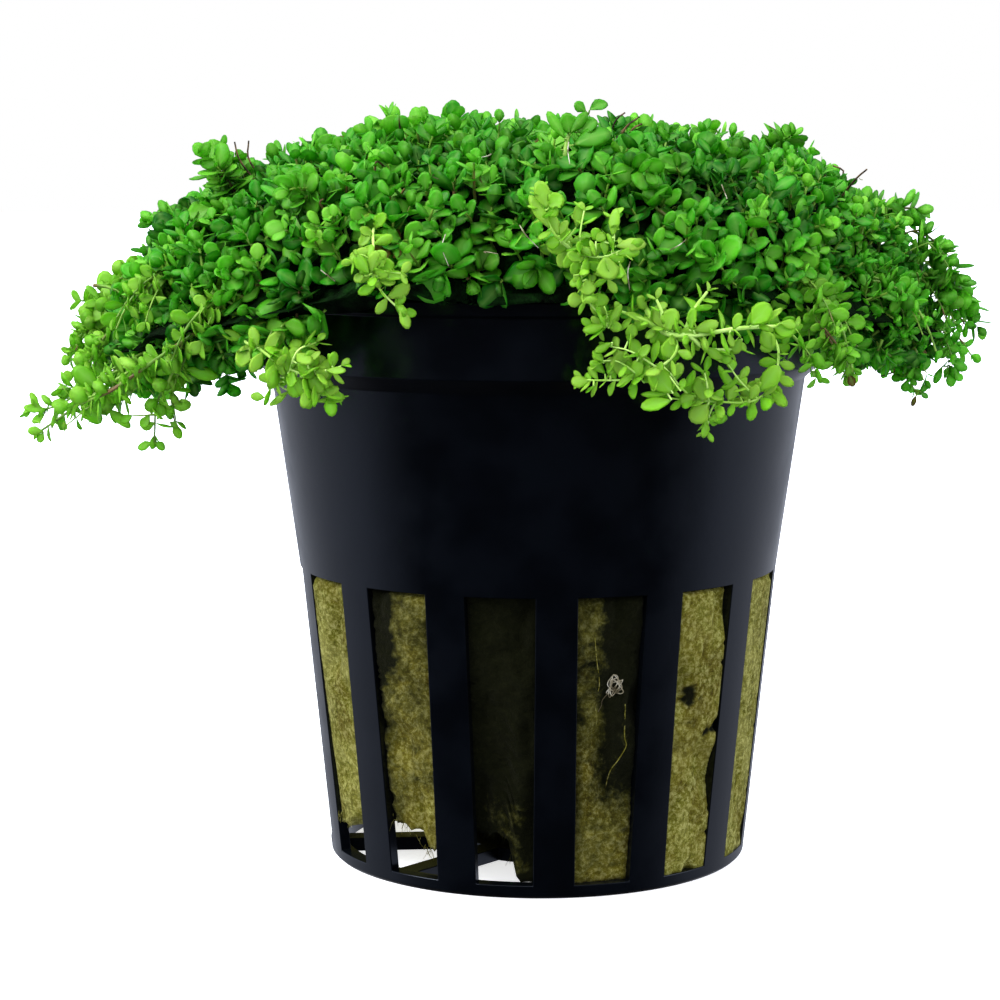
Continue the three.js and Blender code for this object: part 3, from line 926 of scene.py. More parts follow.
def thatch_core_painted_shade(material):
    """The dark inside of the cushion, a sheet painted with the shade under the leaves: the mat's
    solid drawn in under the leaves.
    """
    bm = bmesh.new()
    bm.from_mesh(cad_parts["leaf_mat"].data)
    scaled(bm, 1 / MM)
    bmesh.ops.remove_doubles(bm, verts=bm.verts[:], dist=1e-3)
    bmesh.ops.recalc_face_normals(bm, faces=bm.faces[:])
    bmesh.ops.subdivide_edges(bm, edges=bm.edges[:], cuts=2, use_grid_fill=True)
    bm.normal_update()
    for vert in bm.verts:
        radius = math.hypot(vert.co.x, vert.co.y)
        over_rim = vert.co.z < POT_HEIGHT + 1.2 and radius < LIP_RADIUS + 1.5
        if not over_rim:
            gap = min(0, noise.noise(vert.co * 0.17))
            depth = 2.3 + 0.8 * noise.noise(vert.co * 0.35) - 1.5 * gap
            vert.co -= vert.normal * (depth + 1.4 * shoulder_dip(vert.co))
    piece("thatch_core_painted_shade", bm, [material], "leaf_mat")


def dome_spots(rng):
    """Evenly scattered places on the mat's solid, each with the surface's direction. None is inside
    the pot or over the stretch of its lip that shows at the front."""
    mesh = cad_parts["leaf_mat"].data
    mesh.calc_loop_triangles()
    triangles = mesh.loop_triangles
    corners = np.array([[mesh.vertices[i].co for i in tri.vertices] for tri in triangles]) / MM
    normals = np.array([tri.normal for tri in triangles])
    areas = np.array([tri.area for tri in triangles])
    picks = rng.choice(len(areas), SHOOT_TRIES, p=areas / areas.sum())
    u, v = rng.random((2, SHOOT_TRIES))
    over = u + v > 1
    u[over], v[over] = 1 - u[over], 1 - v[over]
    a, b, c = corners[picks].transpose(1, 0, 2)
    places = a + (b - a) * u[:, None] + (c - a) * v[:, None]
    kept = []
    buckets = {}
    for place, normal in zip(places, normals[picks]):
        inside = math.hypot(place[0], place[1]) < LIP_RADIUS + 0.8 and place[2] < POT_HEIGHT + 1.4
        over_front = place[2] < 51.9 and -18 < place[0] < 3 and place[1] < 0
        if inside or over_front:
            continue
        apart = SHOOT_SPACING * (1 - 0.14 * smooth_step(place[0], 16, 28))
        cell = tuple(int(w // SHOOT_SPACING) for w in place)
        near = [
            other
            for step in product((-1, 0, 1), repeat=3)
            for other in buckets.get(tuple(map(sum, zip(cell, step))), ())
        ]
        if all(np.linalg.norm(place - other) > apart for other in near):
            buckets.setdefault(cell, []).append(place)
            kept.append((Vector(place), Vector(normal)))
    return kept


def dome_shoots(spots, rng):
    """The leafy shoots of the dome, gathered in sprays round it."""
    sprays = [Spray() for _ in range(SPRAY_COUNT)]
    for place, normal in spots:
        clump = noise.noise(place * 0.17)
        ruffle = noise.noise(place * 0.5 + Vector((7, 3, 1)))
        hang = smooth_step(place.z, 55, 46)
        course = normal + Vector((0, 0, 0.5 - 0.75 * hang)) + Vector(rng.normal(0, 0.36, 3))
        course.normalize()
        rise = -0.75 + 1.5 * clump + 1.0 * ruffle + rng.uniform(-0.6, 0.7) - shoulder_dip(place)
        long_shoot = rng.random() < LONG_SHARE
        if long_shoot:
            rise += 0.9
        root = place - course * (1.2 if normal.z < 0 else 3.0)
        tip = place + course * rise + Vector((0, 0, -0.6 * hang))
        bend = (root + tip) / 2 + Vector(rng.normal(0, 0.4, 3))
        points = arc(root, bend, tip, 4)
        tone = 0.45 + 0.55 * clump + 0.4 * ruffle + 0.12 * rng.normal()
        youth = max(0.0, 0.05 + 0.25 * ruffle + 0.1 * rng.normal())
        growth = 1 + 0.1 * smooth_step(-place.y, 5, 25) - 0.25 * smooth_step(place.x, 16, 30)
        size = LEAF_LENGTH * rng.uniform(0.72, 1.12) * growth
        if rng.random() < WITHERED_SHARE:
            tone = -1
            youth = 0
        spray = sprays[int(azimuth_of(place) // (360 / SPRAY_COUNT))]
        pairs = 4 if long_shoot else 3
        leafy_stem(spray, points, pairs, 0.45, size, tone, min(youth, 0.4), rng)
    return sprays


# The stems that stand clear of the dome


def sunward(azimuth):
    """Where a leaf at the mat's edge turns its face."""
    return (outward(azimuth) * 0.7 + Vector((0, 0, 0.7))) * 0.6


def companions(spray, points, count, spread, size, tone, youth, rng, light=None):
    """Side stems that part from a main stem on their way out and fall short of its tip."""
    for _ in range(count):
        shift = Vector(rng.normal(0, spread, 3))
        shift.z = -0.5 * abs(shift.z)
        shorter = rng.uniform(0.55, 0.9)
        line = [
            points[0].lerp(p, shorter) + shift * (i / len(points)) for i, p in enumerate(points)
        ]
        pairs = pairs_along(line, 0.2, 1.35)
        leafy_stem(spray, line, pairs, 0.2, size, tone, youth, rng, STEM_RADIUS * 0.7, 1.0, light)


def led_stems(spray, routes, spacing, size, tone, youth, rng, radius, width=1.0, light=None):
    """Stems through given places, closely leaved. One that starts near another parts from it, and the
    rest come out of the mat."""
    others = []
    for route in routes:
        places = [Vector(place) for place in route]
        near = min(others, key=lambda place: (place - places[0]).length, default=None)
        if near is not None and (near - places[0]).length < 1.6:
            places[0] = near
        else:
            sink = 2.5 if places[0].z < 52 else -2.0
            places.insert(0, places[0] - outward(azimuth_of(places[0])) * 4 + Vector((0, 0, sink)))
        line = smooth_line(places, 5 * len(places))
        first = 0.12 if near is places[0] else 1 / len(places)
        pairs = pairs_along(line, first, spacing)
        thick = radius if not others else radius * 0.75
        leafy_stem(spray, line, pairs, first, size, tone, youth, rng, thick, width, light)
        others += line


# Stems that trail well clear of the mat, by the solid each goes with: the thin fan at the left and
# the ends that hang at the right
TRAILING_STEMS = {
    "skirt_stem_16": [
        [(-27.6, -18, 47.5), (-31.5, -20, 44.8), (-34.9, -19, 42.5), (-38.5, -17.5, 41.1)],
        [(-28.4, -18, 45.9), (-30, -18.6, 43.6), (-31.2, -18, 41.5), (-31.5, -17.4, 38.8)],
    ],
    "skirt_stem_15": [
        [(-28.6, -10, 47.1), (-34.2, -13, 43.7), (-38.5, -12.6, 40.9), (-41.9, -12, 38.6)],
        [(-32.8, -11, 45.4), (-36.9, -12, 43), (-40.3, -11, 40.8), (-43, -10.4, 40.1)],
        [(-30.2, -11, 45.4), (-34.4, -12, 41.7), (-37.4, -11.6, 40)],
    ],
    "skirt_stem_14": [
        [(-32, -4, 49.3), (-36.4, -4, 47.2), (-38.6, -3.6, 44.8), (-39.6, -3, 42.6)],
        [(-32.9, -4, 48.5), (-36.8, -3, 46.2), (-39.2, -2, 44.2)],
    ],
    "skirt_stem_13": [
        [(-31, 2, 51.7), (-35.6, 3, 50.4), (-39, 4, 49), (-41, 4, 48.8)],
        [(-32, 3, 50.8), (-36.7, 4, 48.6), (-39.6, 5, 46.2)],
        [(-31, 2, 52.5), (-34.7, 3, 52.4), (-38.3, 4, 50.2)],
    ],
    "skirt_stem_01": [
        [(21.0, -20, 50.1), (22.9, -22, 47.8), (24.3, -22, 45.9), (24.9, -22, 44.3)],
        [(18.9, -22, 48.7), (20.5, -24, 47.1), (21.7, -24, 45.5), (22.0, -24, 44.1)],
    ],
    "skirt_stem_03": [
        [(29.6, -2, 49.0), (30.4, -3, 46.7), (31.0, -4, 45.2), (31.8, -4, 43.6), (32.6, -4, 41.6)],
        [(33.6, 0, 50.0), (34.5, 0, 47.6), (35.6, 0, 45.1), (36.1, 0, 43.9), (36.3, 0, 42.8)],
    ],
}


def skirt_sprays(materials, rng):
    """The stems that hang out from under the dome, spread most widely in a fan at the left."""
    count = 16
    for i in range(count):
        azimuth = blend(52, 304, i / (count - 1)) + 3 * vary(i, 2)
        left = math.exp(-(((azimuth - 252) / 22) ** 2))
        points = creeping_line(
            azimuth,
            0.07 + 0.05 * (i % 3),
            16 * vary(i, 4),
            8 * (i % 2) - 6,
            4.1 + 0.8 * vary(i, 5) + 5 * left,
            5.2 + 1.2 * vary(i, 6) + 0.8 * left,
        )
        node = f"skirt_stem_{i + 1:02d}"
        light = sunward(azimuth)
        fan = azimuth > 245
        if fan:
            tone, youth, size = 0.75, 0.7, 0.8 * LEAF_LENGTH
            points = [points[0].lerp(point, 0.85) for point in points]
        else:
            tone = 0.65
            youth = 0.55 if azimuth < 60 else 0.15
            size = LEAF_LENGTH * (0.75 if azimuth < 110 else 0.9)
        spray = Spray()
        pairs = pairs_along(points, 0.4, 1.5)
        leafy_stem(spray, points, pairs, 0.4, size, tone, youth, rng, STEM_RADIUS, 1.0, light)
        companions(spray, points, 8, 1.4, size, tone, youth, rng, light)
        if node in TRAILING_STEMS:
            routes = TRAILING_STEMS[node]
            radius = STEM_RADIUS * (1.2 if fan else 0.65)
            led_stems(spray, routes, 1.1, size, 0.75, youth, rng, radius, light=light)
            for route in routes:
                line = smooth_line([Vector(place) for place in route], 8)
                companions(spray, line, 2, 1.2, size * 0.9, 0.75, youth, rng, light)
        seen_leaves(spray, SEEN_LEAVES.get(node, []), 0.55, youth, rng)
        seen_leaves(spray, WITHERED_LEAVES.get(node, []), -1, 0, rng)
        spray.piece(f"{node}_spray", materials, "leaf", node)


# Stems that stand a little proud of the dome, by the solid each goes with
RAISED_STEMS = {
    "shoulder_stem_02": [
        [(32.5, -2, 55.2), (34.2, -2, 54.5), (35.6, -2, 53.1)],
        [(33.5, -3, 52.6), (35.7, -3, 51.4), (37.1, -3, 49.6)],
        [(34, -1, 51.5), (36.4, -1, 50.4), (38, -1, 48.6)],
        [(33.6, -4, 54.2), (35, -4, 53.2), (36.2, -4, 51.6)],
        [(35, 0, 49.6), (37.2, 0, 48.4), (38.6, 0, 46.8)],
    ],
    "shoulder_stem_05": [[(-26.0, -6, 60.0), (-26.6, -6, 61.0), (-27.1, -6, 62.0)]],
}


def shoulder_sprays(materials, rng):
    """The stems that stand out from the dome's shoulder."""
    count = 6
    for i in range(count):
        azimuth = 22 + i * 360 / count + 6 * vary(i, 8)
        points = creeping_line(azimuth, 0.4 + 0.06 * vary(i, 9), 0, 14, 2.4, 0.7, 7)
        spray = Spray()
        leafy_stem(spray, points, 4, 0.5, LEAF_LENGTH, 0.6, 0.2, rng)
        companions(spray, points, 4, 1.2, LEAF_LENGTH, 0.6, 0.2, rng)
        node = f"shoulder_stem_{i + 1:02d}"
        if node in RAISED_STEMS:
            routes = RAISED_STEMS[node]
            led_stems(spray, routes, 1.2, LEAF_LENGTH, 0.6, 0.2, rng, STEM_RADIUS * 0.7)
            for route in routes:
                line = smooth_line([Vector(place) for place in route], 8)
                companions(spray, line, 2, 0.9, LEAF_LENGTH * 0.8, 0.6, 0.2, rng)
        spray.piece(f"{node}_spray", materials, "leaf", node)


# The stem of the tall sprig at the front of the crown
TALL_SPRIG = [
    (2.4, -16.5, 59),
    (2.1, -19.9, 61.0),
    (2.2, -19.6, 62.4),
    (2.6, -19, 63.6),
    (3.4, -18.6, 64.4),
    (4.0, -18.4, 64.9),
]


# The sprigs that stand up from the crown, as (azimuth, climb, length)
CROWN_SPRIGS = [(11, 0.62, 2.9), (75, 0.64, 1.8), (150, 0.66, 2.3), (215, 0.66, 2.2), (285, 0.5, 2.2)]


def crown_sprays(materials, rng):
    """The crown's sprigs. The tall one at the front has a stem and leaves in given places."""
    for i, (azimuth, climb, length) in enumerate(CROWN_SPRIGS):
        points = creeping_line(azimuth, climb, 10, 66, length, 0.2, 7)
        node = f"crown_sprig_{i + 1}"
        spray = Spray()
        if node in SEEN_LEAVES:
            spray.stem(smooth_line([Vector(place) for place in TALL_SPRIG], 16), 0.2, 0.12)
            seen_leaves(spray, SEEN_LEAVES[node], 0.55, 0.2, rng)
            companions(spray, points, 2, 1.2, LEAF_LENGTH, 0.6, 0.2, rng)
        else:
            leafy_stem(spray, points, 3, 0.6, LEAF_LENGTH, 0.65, 0.25, rng)
            companions(spray, points, 4, 1.2, LEAF_LENGTH, 0.6, 0.2, rng)
        spray.piece(f"{node}_spray", materials, "leaf", node)


# The pale young stems at the front, by the solid each goes with
FRONT_STEMS = {
    "front_upright_stem": [
        [(4.2, -26, 52.9), (2.3, -28.4, 54.5), (1, -29, 55.9), (0.3, -29, 57.7), (0.1, -28.8, 58.8)],
    ],
    "front_pale_stem": [
        [(1.8, -27, 54.3), (3.2, -29.5, 54), (5, -30.4, 53.8), (7, -30.2, 54.6)],
        [(5.2, -29, 53.8), (5.5, -30.4, 53), (5.3, -30.6, 52.1)],
        [(4.3, -29, 53.6), (3.3, -30.2, 52.7), (3.6, -29.8, 50.8), (5.1, -29, 48.9)],
        [(5.6, -29, 53.8), (5.8, -29.6, 55.2), (5.8, -29.2, 56.7)],
        [(3.5, -29, 53.9), (3.2, -29.6, 55.5), (3.5, -29, 57.3)],
    ],
    "front_long_stem": [
        [(8.1, -25, 50.3), (9.5, -29, 48.1), (11.8, -30, 47.8), (15.7, -29, 48.3), (19.9, -26, 48.3)],
        [(10.2, -29, 47.9), (9.5, -29.6, 49.5), (9.1, -29.4, 50.5)],
        [(11.1, -29, 47.9), (12.1, -29.6, 49.9), (13, -29.2, 51.1)],
        [(9.7, -28.6, 48.2), (8, -29.4, 49), (6.3, -29, 49.6)],
        [(11.8, -29.6, 47.7), (13.1, -29.4, 46.7), (15.7, -27.6, 46.6)],
    ],
    "front_hanging_stem": [
        [(10.7, -30, 47), (9.4, -29.6, 45.3), (7.4, -29, 44.4), (5.2, -28.4, 44.2), (3.5, -28, 44.2)],
        [(9.2, -29.6, 45.5), (7.2, -29.6, 46.5), (5.4, -28.8, 46.9)],
        [(8, -29, 44.6), (6.2, -29.2, 45.7), (4.8, -28.6, 45.7)],
        [(5.4, -28.8, 48.8), (4.9, -28.6, 48.3), (4.3, -28.4, 48.3)],
    ],
    "front_looping_stem": [
        [
            (18.7, -24, 47.1),
            (18.9, -24.6, 44.9),
            (18.3, -25.6, 43.4),
            (16.6, -26.6, 42.4),
            (13.7, -27.6, 42.5),
            (10.2, -28.2, 42.8),
        ],
        [(14, -27.6, 42.5), (13.4, -27.4, 41.5), (13.3, -26.8, 40.1)],
        [(17.1, -26.2, 42.7), (15.8, -27, 44), (14.7, -27.4, 45.5)],
        [(12, -28, 42.8), (10.8, -28.6, 44), (9.9, -28.8, 45.4)],
        [(13.1, -27.8, 42.6), (13.1, -28.6, 43.8), (12.9, -28.6, 44.8)],
    ],
    "front_left_tuft": [
        [
            (-23.7, -20, 47.1),
            (-22.1, -23, 46.2),
            (-20.2, -24.5, 45),
            (-18.4, -25, 44.3),
            (-17.2, -25, 43.6),
        ],
        [(-19.7, -24.5, 45.0), (-18.9, -25, 46.3), (-17.5, -25, 46.9)],
        [(-18.9, -25, 44.4), (-17.5, -25, 43.0), (-15.9, -24.6, 42.5)],
        [(-20.2, -24.5, 45.0), (-20.9, -24, 43.7), (-21.8, -23.4, 42.4)],
        [(-18.4, -25, 44.3), (-16.8, -25.6, 44.6), (-15.5, -25.6, 45.1)],
    ],
    "front_left_sprig": [
        [
            (-12.8, -24.5, 55.9),
            (-12.8, -27.6, 54.3),
            (-12.9, -28.6, 52.9),
            (-12.2, -28.6, 51.2),
            (-10.6, -28, 49.5),
        ],
        [(-12.9, -28.4, 53.4), (-13.7, -28.8, 53.9), (-14.3, -28.8, 53.4)],
        [(-12.8, -28.6, 52.8), (-11.5, -29, 52.6), (-10.6, -29, 52.5)],
    ],
}

# Stem radius, leaf length and the spacing of leaf pairs for the front stems that differ from the rest
FRONT_HABITS = {
    "front_long_stem": (0.26, 1.7, 1.0),
    "front_upright_stem": (0.17, 1.6, 1.3),
    "front_left_tuft": (0.15, 2.1, 0.9),
}

# Single leaves of the stems at the front and the sides and of the tall sprig at the crown, as rows of
# the stalk end's x and z, the tip's x and z, and the width
SEEN_LEAVES = {
    "skirt_stem_01": [
        (23.3, 46.3, 24.2, 46.4, 0.7), (24.2, 46, 25.1, 46.2, 0.7), (24.5, 45.7, 25.3, 45.3, 0.7),
        (24.3, 45.2, 23.9, 44.3, 0.7), (24.7, 44.9, 25, 44, 0.7), (25.1, 44.7, 25.9, 44.3, 0.6),
        (23.7, 45.8, 23.4, 45.2, 0.6), (23.4, 45.4, 22.9, 44.7, 0.7), (23, 46, 22.7, 45.2, 0.7),
    ],
    "skirt_stem_03": [
        (31.3, 44.5, 32.2, 44.3, 0.8), (31.6, 44, 32.4, 43.3, 0.8), (31.1, 43.7, 32, 43.1, 0.8),
        (30.8, 44.4, 30.4, 43.7, 0.7), (31.9, 43.1, 32.7, 42.7, 0.7), (32.3, 42.7, 32.9, 41.9, 0.6),
        (31.6, 42.7, 30.6, 42.4, 0.8), (31.9, 42.4, 31.6, 41.5, 0.8), (32.4, 41.9, 32.2, 41.3, 0.5),
        (33, 41.2, 33.7, 42.1, 0.5), (33.1, 41.4, 33.7, 40.8, 0.5), (36, 44.3, 37, 44.1, 0.8),
        (36.4, 43.7, 37.8, 43.1, 0.9), (36.3, 43.3, 37, 42.4, 0.8), (36.3, 42.8, 36.5, 41.6, 0.9),
        (36, 43.2, 35.8, 42.4, 0.5), (35.6, 43.3, 34.8, 41.9, 0.6), (36.7, 42.8, 37.2, 42, 0.7),
        (35.2, 45.1, 34.8, 46, 0.5), (35.6, 45.1, 36, 46.2, 0.5),
    ],
    "skirt_stem_16": [
        (-31.7, 38.2, -33, 37.9, 0.8), (-31.5, 38.2, -30.6, 37.7, 0.7),
        (-31.8, 40.5, -32.4, 39.4, 0.8), (-31.1, 41.5, -30.7, 40.4, 0.8),
        (-28.9, 44.3, -26.2, 44, 1.1), (-30.3, 42.2, -29.6, 43.8, 1.4),
        (-33.2, 40.5, -34.1, 39.9, 0.7),
    ],
    "skirt_stem_15": [
        (-41.6, 40.3, -43.5, 40.5, 0.7), (-41.7, 40, -42.8, 39.2, 0.6),
        (-42, 40.4, -42.9, 41.1, 0.5), (-41.6, 38.6, -42.8, 38.8, 0.7),
        (-41.6, 38.5, -42.1, 37.7, 0.6), (-38.3, 41, -36.5, 39.5, 1.2), (-39.2, 41.5, -41, 42, 1),
        (-37.3, 41.5, -38.8, 42.7, 1.4), (-38.9, 40.5, -40.9, 41, 1),
        (-36.6, 42.2, -38.6, 44.3, 1.4), (-36.2, 40.5, -34.2, 39.2, 0.8),
    ],
    "skirt_stem_14": [
        (-38.6, 48.9, -40.4, 48.5, 0.7), (-38.9, 49, -40.1, 50.3, 0.6),
        (-38.1, 48.3, -39.9, 47.4, 1.5), (-37.6, 47.8, -39.5, 46.5, 1.2),
        (-38.7, 46.3, -39, 44.8, 1.2), (-38, 44.5, -39.8, 45.3, 0.5),
    ],
    "skirt_stem_13": [
        (-38.5, 48.9, -39.1, 51.4, 1.5), (-37.5, 48.9, -37.6, 51.4, 1.6),
        (-35.7, 50.7, -36.4, 52.8, 1.7), (-36.2, 48.4, -35.1, 50.5, 1.5),
    ],
    "front_hanging_stem": [
        (4, 44.1, 2.6, 44.3, 1), (4.3, 43.8, 3.7, 43.2, 0.3), (5.2, 44.7, 4.1, 45.7, 0.7),
        (5.1, 45.6, 4.3, 46.6, 0.6), (5.7, 47.2, 4.3, 46.5, 0.6), (6.5, 44.4, 6.4, 46.6, 1.5),
        (7.3, 44.4, 8, 45.8, 1.1), (7.6, 45.8, 8.5, 47.1, 0.7), (6.9, 47.3, 7.3, 48.7, 0.9),
        (5.6, 44.6, 5.8, 46, 0.9), (10.4, 43.3, 8.6, 45.2, 1.6), (9.4, 44.9, 9.4, 45.8, 0.5),
        (10.5, 44.6, 10.9, 45.7, 0.8), (10.3, 42.8, 7.9, 42.2, 1), (10, 43.3, 7.9, 43.4, 0.5),
        (11, 43.5, 11.2, 44.5, 0.5), (8.2, 44.1, 8.8, 44.8, 0.7),
    ],
    "front_looping_stem": [
        (12.2, 43, 11, 42.6, 1), (12.8, 42.5, 12.8, 44.6, 1.5), (13.2, 42.3, 12, 41, 1.4),
        (13.1, 41.1, 13, 39.6, 0.6), (13.2, 41, 14.5, 41.5, 0.6), (17.2, 43.2, 18.8, 45.2, 1.3),
        (15.8, 42.8, 14.4, 45.4, 0.8), (14.8, 42.5, 15.5, 43.7, 0.8), (13.7, 42.5, 14.3, 43.4, 0.6),
        (16.5, 42.6, 17.1, 43.7, 0.7), (17.6, 42.8, 18.6, 43.8, 0.6), (13.9, 42.1, 14.3, 42.8, 0.5),
    ],
    "front_long_stem": [
        (11.9, 48.2, 13.8, 48.8, 0.9), (9.8, 48.1, 9.2, 50.1, 1.3), (9.9, 48.1, 10.3, 49.9, 1.3),
        (10.2, 47.7, 10.1, 46.1, 1.2), (8.6, 48.6, 6.7, 49.5, 0.5), (5.4, 48.3, 6.4, 50.1, 0.6),
        (5.2, 48.5, 3.4, 48.3, 0.8), (11.7, 48.2, 11.8, 50, 0.7), (15, 48.2, 15.6, 49.5, 0.7),
        (14.7, 48, 15, 46.9, 0.5), (12.7, 47.8, 12.9, 46.5, 0.5), (17, 48.4, 18.9, 49.8, 0.5),
        (16.4, 48.5, 17.9, 50.1, 1.5), (18.2, 48.4, 19.9, 47.7, 1.1), (17.4, 48.2, 18.1, 46.6, 1.1),
        (14, 46.6, 14.8, 45.5, 0.8), (12.8, 46.9, 14.2, 46, 0.7), (15.8, 47.4, 15, 46.4, 0.9),
        (18.8, 48.6, 20.1, 48.5, 0.7),
    ],
    "front_upright_stem": [
        (0.7, 57.4, 0, 59.6, 1.1), (0.8, 57.5, 1.7, 58.6, 1.3), (0.9, 55.9, -0.7, 58.4, 0.8),
        (1.6, 55.4, 0.9, 57.3, 0.8), (1.7, 54.9, 0.6, 54.8, 0.9), (2.9, 56, 3.3, 57.9, 0.8),
        (1.5, 55.3, 2, 56.6, 0.7), (0.7, 56.8, 1.5, 57.5, 0.8),
    ],
    "front_pale_stem": [
        (2.4, 54.9, 4, 55.3, 0.7), (5.9, 54.6, 8.1, 55.1, 1), (6, 54, 7.8, 54.3, 0.7),
        (5.7, 55.3, 5.7, 57.5, 0.8), (5.1, 53.9, 5.4, 52, 1.6), (3.1, 53.7, 2.8, 52.4, 0.8),
        (3.7, 52.1, 4, 50.9, 1.1), (3.1, 52, 2.4, 51.7, 0.6), (3.5, 50.5, 2.3, 50.6, 1),
        (3.8, 50.4, 4.6, 50.6, 0.6), (4.1, 53.9, 3.3, 54.6, 0.7), (4.4, 55, 5.1, 55.6, 0.7),
        (2.7, 52.4, 3.2, 51.8, 0.6), (6.2, 53.4, 6.7, 51.7, 0.4), (4.7, 55, 4.1, 55.9, 0.8),
    ],
    "front_left_tuft": [
        (-20.1, 44.1, -20.8, 46.3, 0.8), (-19.8, 44.4, -20, 46.7, 0.6),
        (-19.5, 44.8, -19, 46.6, 1.1), (-19, 45.3, -17.6, 44.3, 1.2), (-18.2, 45.4, -17, 46.2, 0.5),
        (-16.7, 44.8, -15, 44.7, 0.6), (-16.2, 45.1, -16.5, 46.1, 0.4),
        (-17.6, 43.3, -15.2, 42.6, 0.7), (-17.6, 42.2, -15.4, 42.4, 0.5),
        (-18.6, 43.3, -18.1, 41.6, 0.8), (-19.8, 43, -21.5, 42, 0.6), (-20.1, 43.7, -21.2, 44, 0.5),
        (-18.8, 44.2, -19.5, 42.6, 1.2), (-18.1, 44.5, -17, 43, 1.2), (-19.2, 44.1, -18.4, 42.7, 1),
        (-22.3, 46.4, -22.9, 48, 0.8), (-17.6, 44.8, -16.5, 44.1, 0.9),
    ],
    "front_left_sprig": [
        (-13, 52.4, -13.9, 54, 0.9), (-12.9, 52.5, -12.4, 54.2, 0.9), (-13.4, 52.3, -14.3, 52, 0.7),
        (-12.8, 52.2, -10.1, 52.4, 0.7), (-12.3, 52, -11, 51.7, 0.7),
        (-10.7, 49.7, -9.8, 48.4, 0.9), (-10.9, 50, -10.4, 50.8, 0.6),
    ],
    "crown_sprig_1": [
        (2.1, 62.9, 0.8, 65.1, 0.8), (2.5, 63.2, 2.2, 65, 1.2), (2.8, 62.4, 5.5, 63.8, 1.7),
        (3.1, 63.4, 4.6, 64.5, 1.4), (3.8, 65.1, 3, 65.7, 0.8), (4.1, 65.2, 5.5, 65.9, 1),
        (1.3, 62.2, -0.5, 62.6, 0.5), (2.2, 61.3, 3, 62, 0.4), (1.7, 61.4, 1.5, 62.3, 0.4),
        (2.5, 63.3, 3.9, 65, 0.8),
    ],
}


# Withered ones, in rows of the same kind
WITHERED_LEAVES = {
    "skirt_stem_01": [(24.8, 44.2, 25.2, 43.3, 0.6)],
    "skirt_stem_03": [
        (32.1, 45.3, 32.9, 44.8, 0.6), (32.9, 45.1, 33.6, 44.3, 0.7), (32.4, 44.9, 32.9, 44.4, 0.5),
        (31.9, 46.7, 33, 46.3, 0.6), (32.7, 41.1, 32.3, 40.2, 0.4),
    ],
}


def seen_leaves(spray, rows, tone, youth, rng):
    """Leaves in given places, turned to the front, each on a short stalk from the nearest stem."""
    line = [point for stem in spray.stems for point in stem[0]]
    for x, z, tip_x, tip_z, width in rows:
        joint = min(line, key=lambda point: math.hypot(point.x - x, point.z - z))
        base = Vector((x, joint.y - rng.uniform(0.0, 0.5), z))
        span = Vector((tip_x - x, rng.uniform(-0.6, 0.3), tip_z - z))
        face = Vector((rng.normal(0, 0.3), -1, rng.uniform(0.1, 0.8)))
        spray.stem(arc(joint, joint.lerp(base, 0.5) - Vector((0, 0, 0.1)), base, 4), 0.09, 0.07)
        share = 1.2 * width / span.length * LEAF_LENGTH / LEAF_WIDTH
        shade = tone + rng.uniform(-0.25, 0.25)
        kind = rng.integers(len(LEAF_KINDS))
        spray.leaf(base, span.normalized(), face, span.length, share, shade, youth, kind)


def front_sprays(materials, rng):
    """The young stems at the front, whose leaves turn outwards and up."""
    for node, routes in FRONT_STEMS.items():
        radius, length, spacing = FRONT_HABITS.get(node, (0.13, 1.7, 0.9))
        light = (outward(azimuth_of(Vector(routes[0][-1]))) + Vector((0, 0, 0.6))) * 0.7
        spray = Spray()
        led_stems(spray, routes, spacing, length, 0.7, 0.95, rng, radius, 0.8, light)
        seen_leaves(spray, SEEN_LEAVES[node], 0.75, 0.95, rng)
        spray.piece(f"{node}_spray", materials, "young_leaf", node)


# Bare roots and wiry stems that show among the leaves, as (azimuth, climb, lift) places on the mat
BARE_ROOTS = [
    [(357, 0.16, 1.2), (358, 0.12, 1.8), (360, 0.08, 1.6)],
    [(345, 0.15, 0.8), (345, 0.1, 1.4), (346, 0.05, 1.2)],
    [(327, 0.08, 1.6), (329, 0.05, 1.4)],
    [(7, 0.6, 1.6), (6, 0.52, 1.8), (6, 0.44, 1.4)],
    [(32, 0.35, 2.0), (32, 0.29, 1.8)],
    [(21, 0.09, 1.2), (22, 0.1, 2.0), (24, 0.13, 1.2)],
    [(14, 0.04, 2.4), (13, 0.01, 3.6), (13, -0.06, 4.2)],
    [(268, 0.02, 0.0), (268, -0.05, 0.4), (268, -0.12, 0.2)],
    [(276, 0.0, 0.0), (275, -0.05, 0.2), (275, -0.08, 0.6)],
]


# Withered stalks, from where each comes out of the leaves to its tip
BARE_STALKS = [
    [(21.1, -4, 62.6), (20.6, -4, 63.6), (19.7, -4, 64.2)],
    [(-26.6, -8, 59.8), (-28.3, -8, 60.1)],
    [(-25.3, -8, 61.3), (-25.7, -8, 62.8)],
    [(-24.5, -8, 61.3), (-24.5, -8, 62.9)],
    [(26.0, -6, 60.2), (24.8, -6, 60.9)],
    [(6.3, -14, 64.4), (7.1, -14, 65.1)],
    [(7.1, -14, 63.8), (8.1, -14, 64.6)],
    [(7.6, -14, 63.6), (8.5, -14, 64.2)],
    [(30.2, -4, 44.7), (29.5, -4, 44.1), (29.3, -4, 43.6), (29.2, -4, 43.1)],
    [(30.9, -4, 43.3), (30.3, -4, 42.9), (29.7, -4, 42.7)],
]


def strands(name, lines, material, thick, thin):
    """Bare strands of the plant as one piece."""
    spray = Spray()
    for line in lines:
        spray.stem(smooth_line(line, 8), thick, thin)
    bm = bmesh.new()
    take_in(bm, spray.stem_mesh(1))
    scaled(bm, 1 / MM)
    piece(name, bm, [material], "leaf_mat")


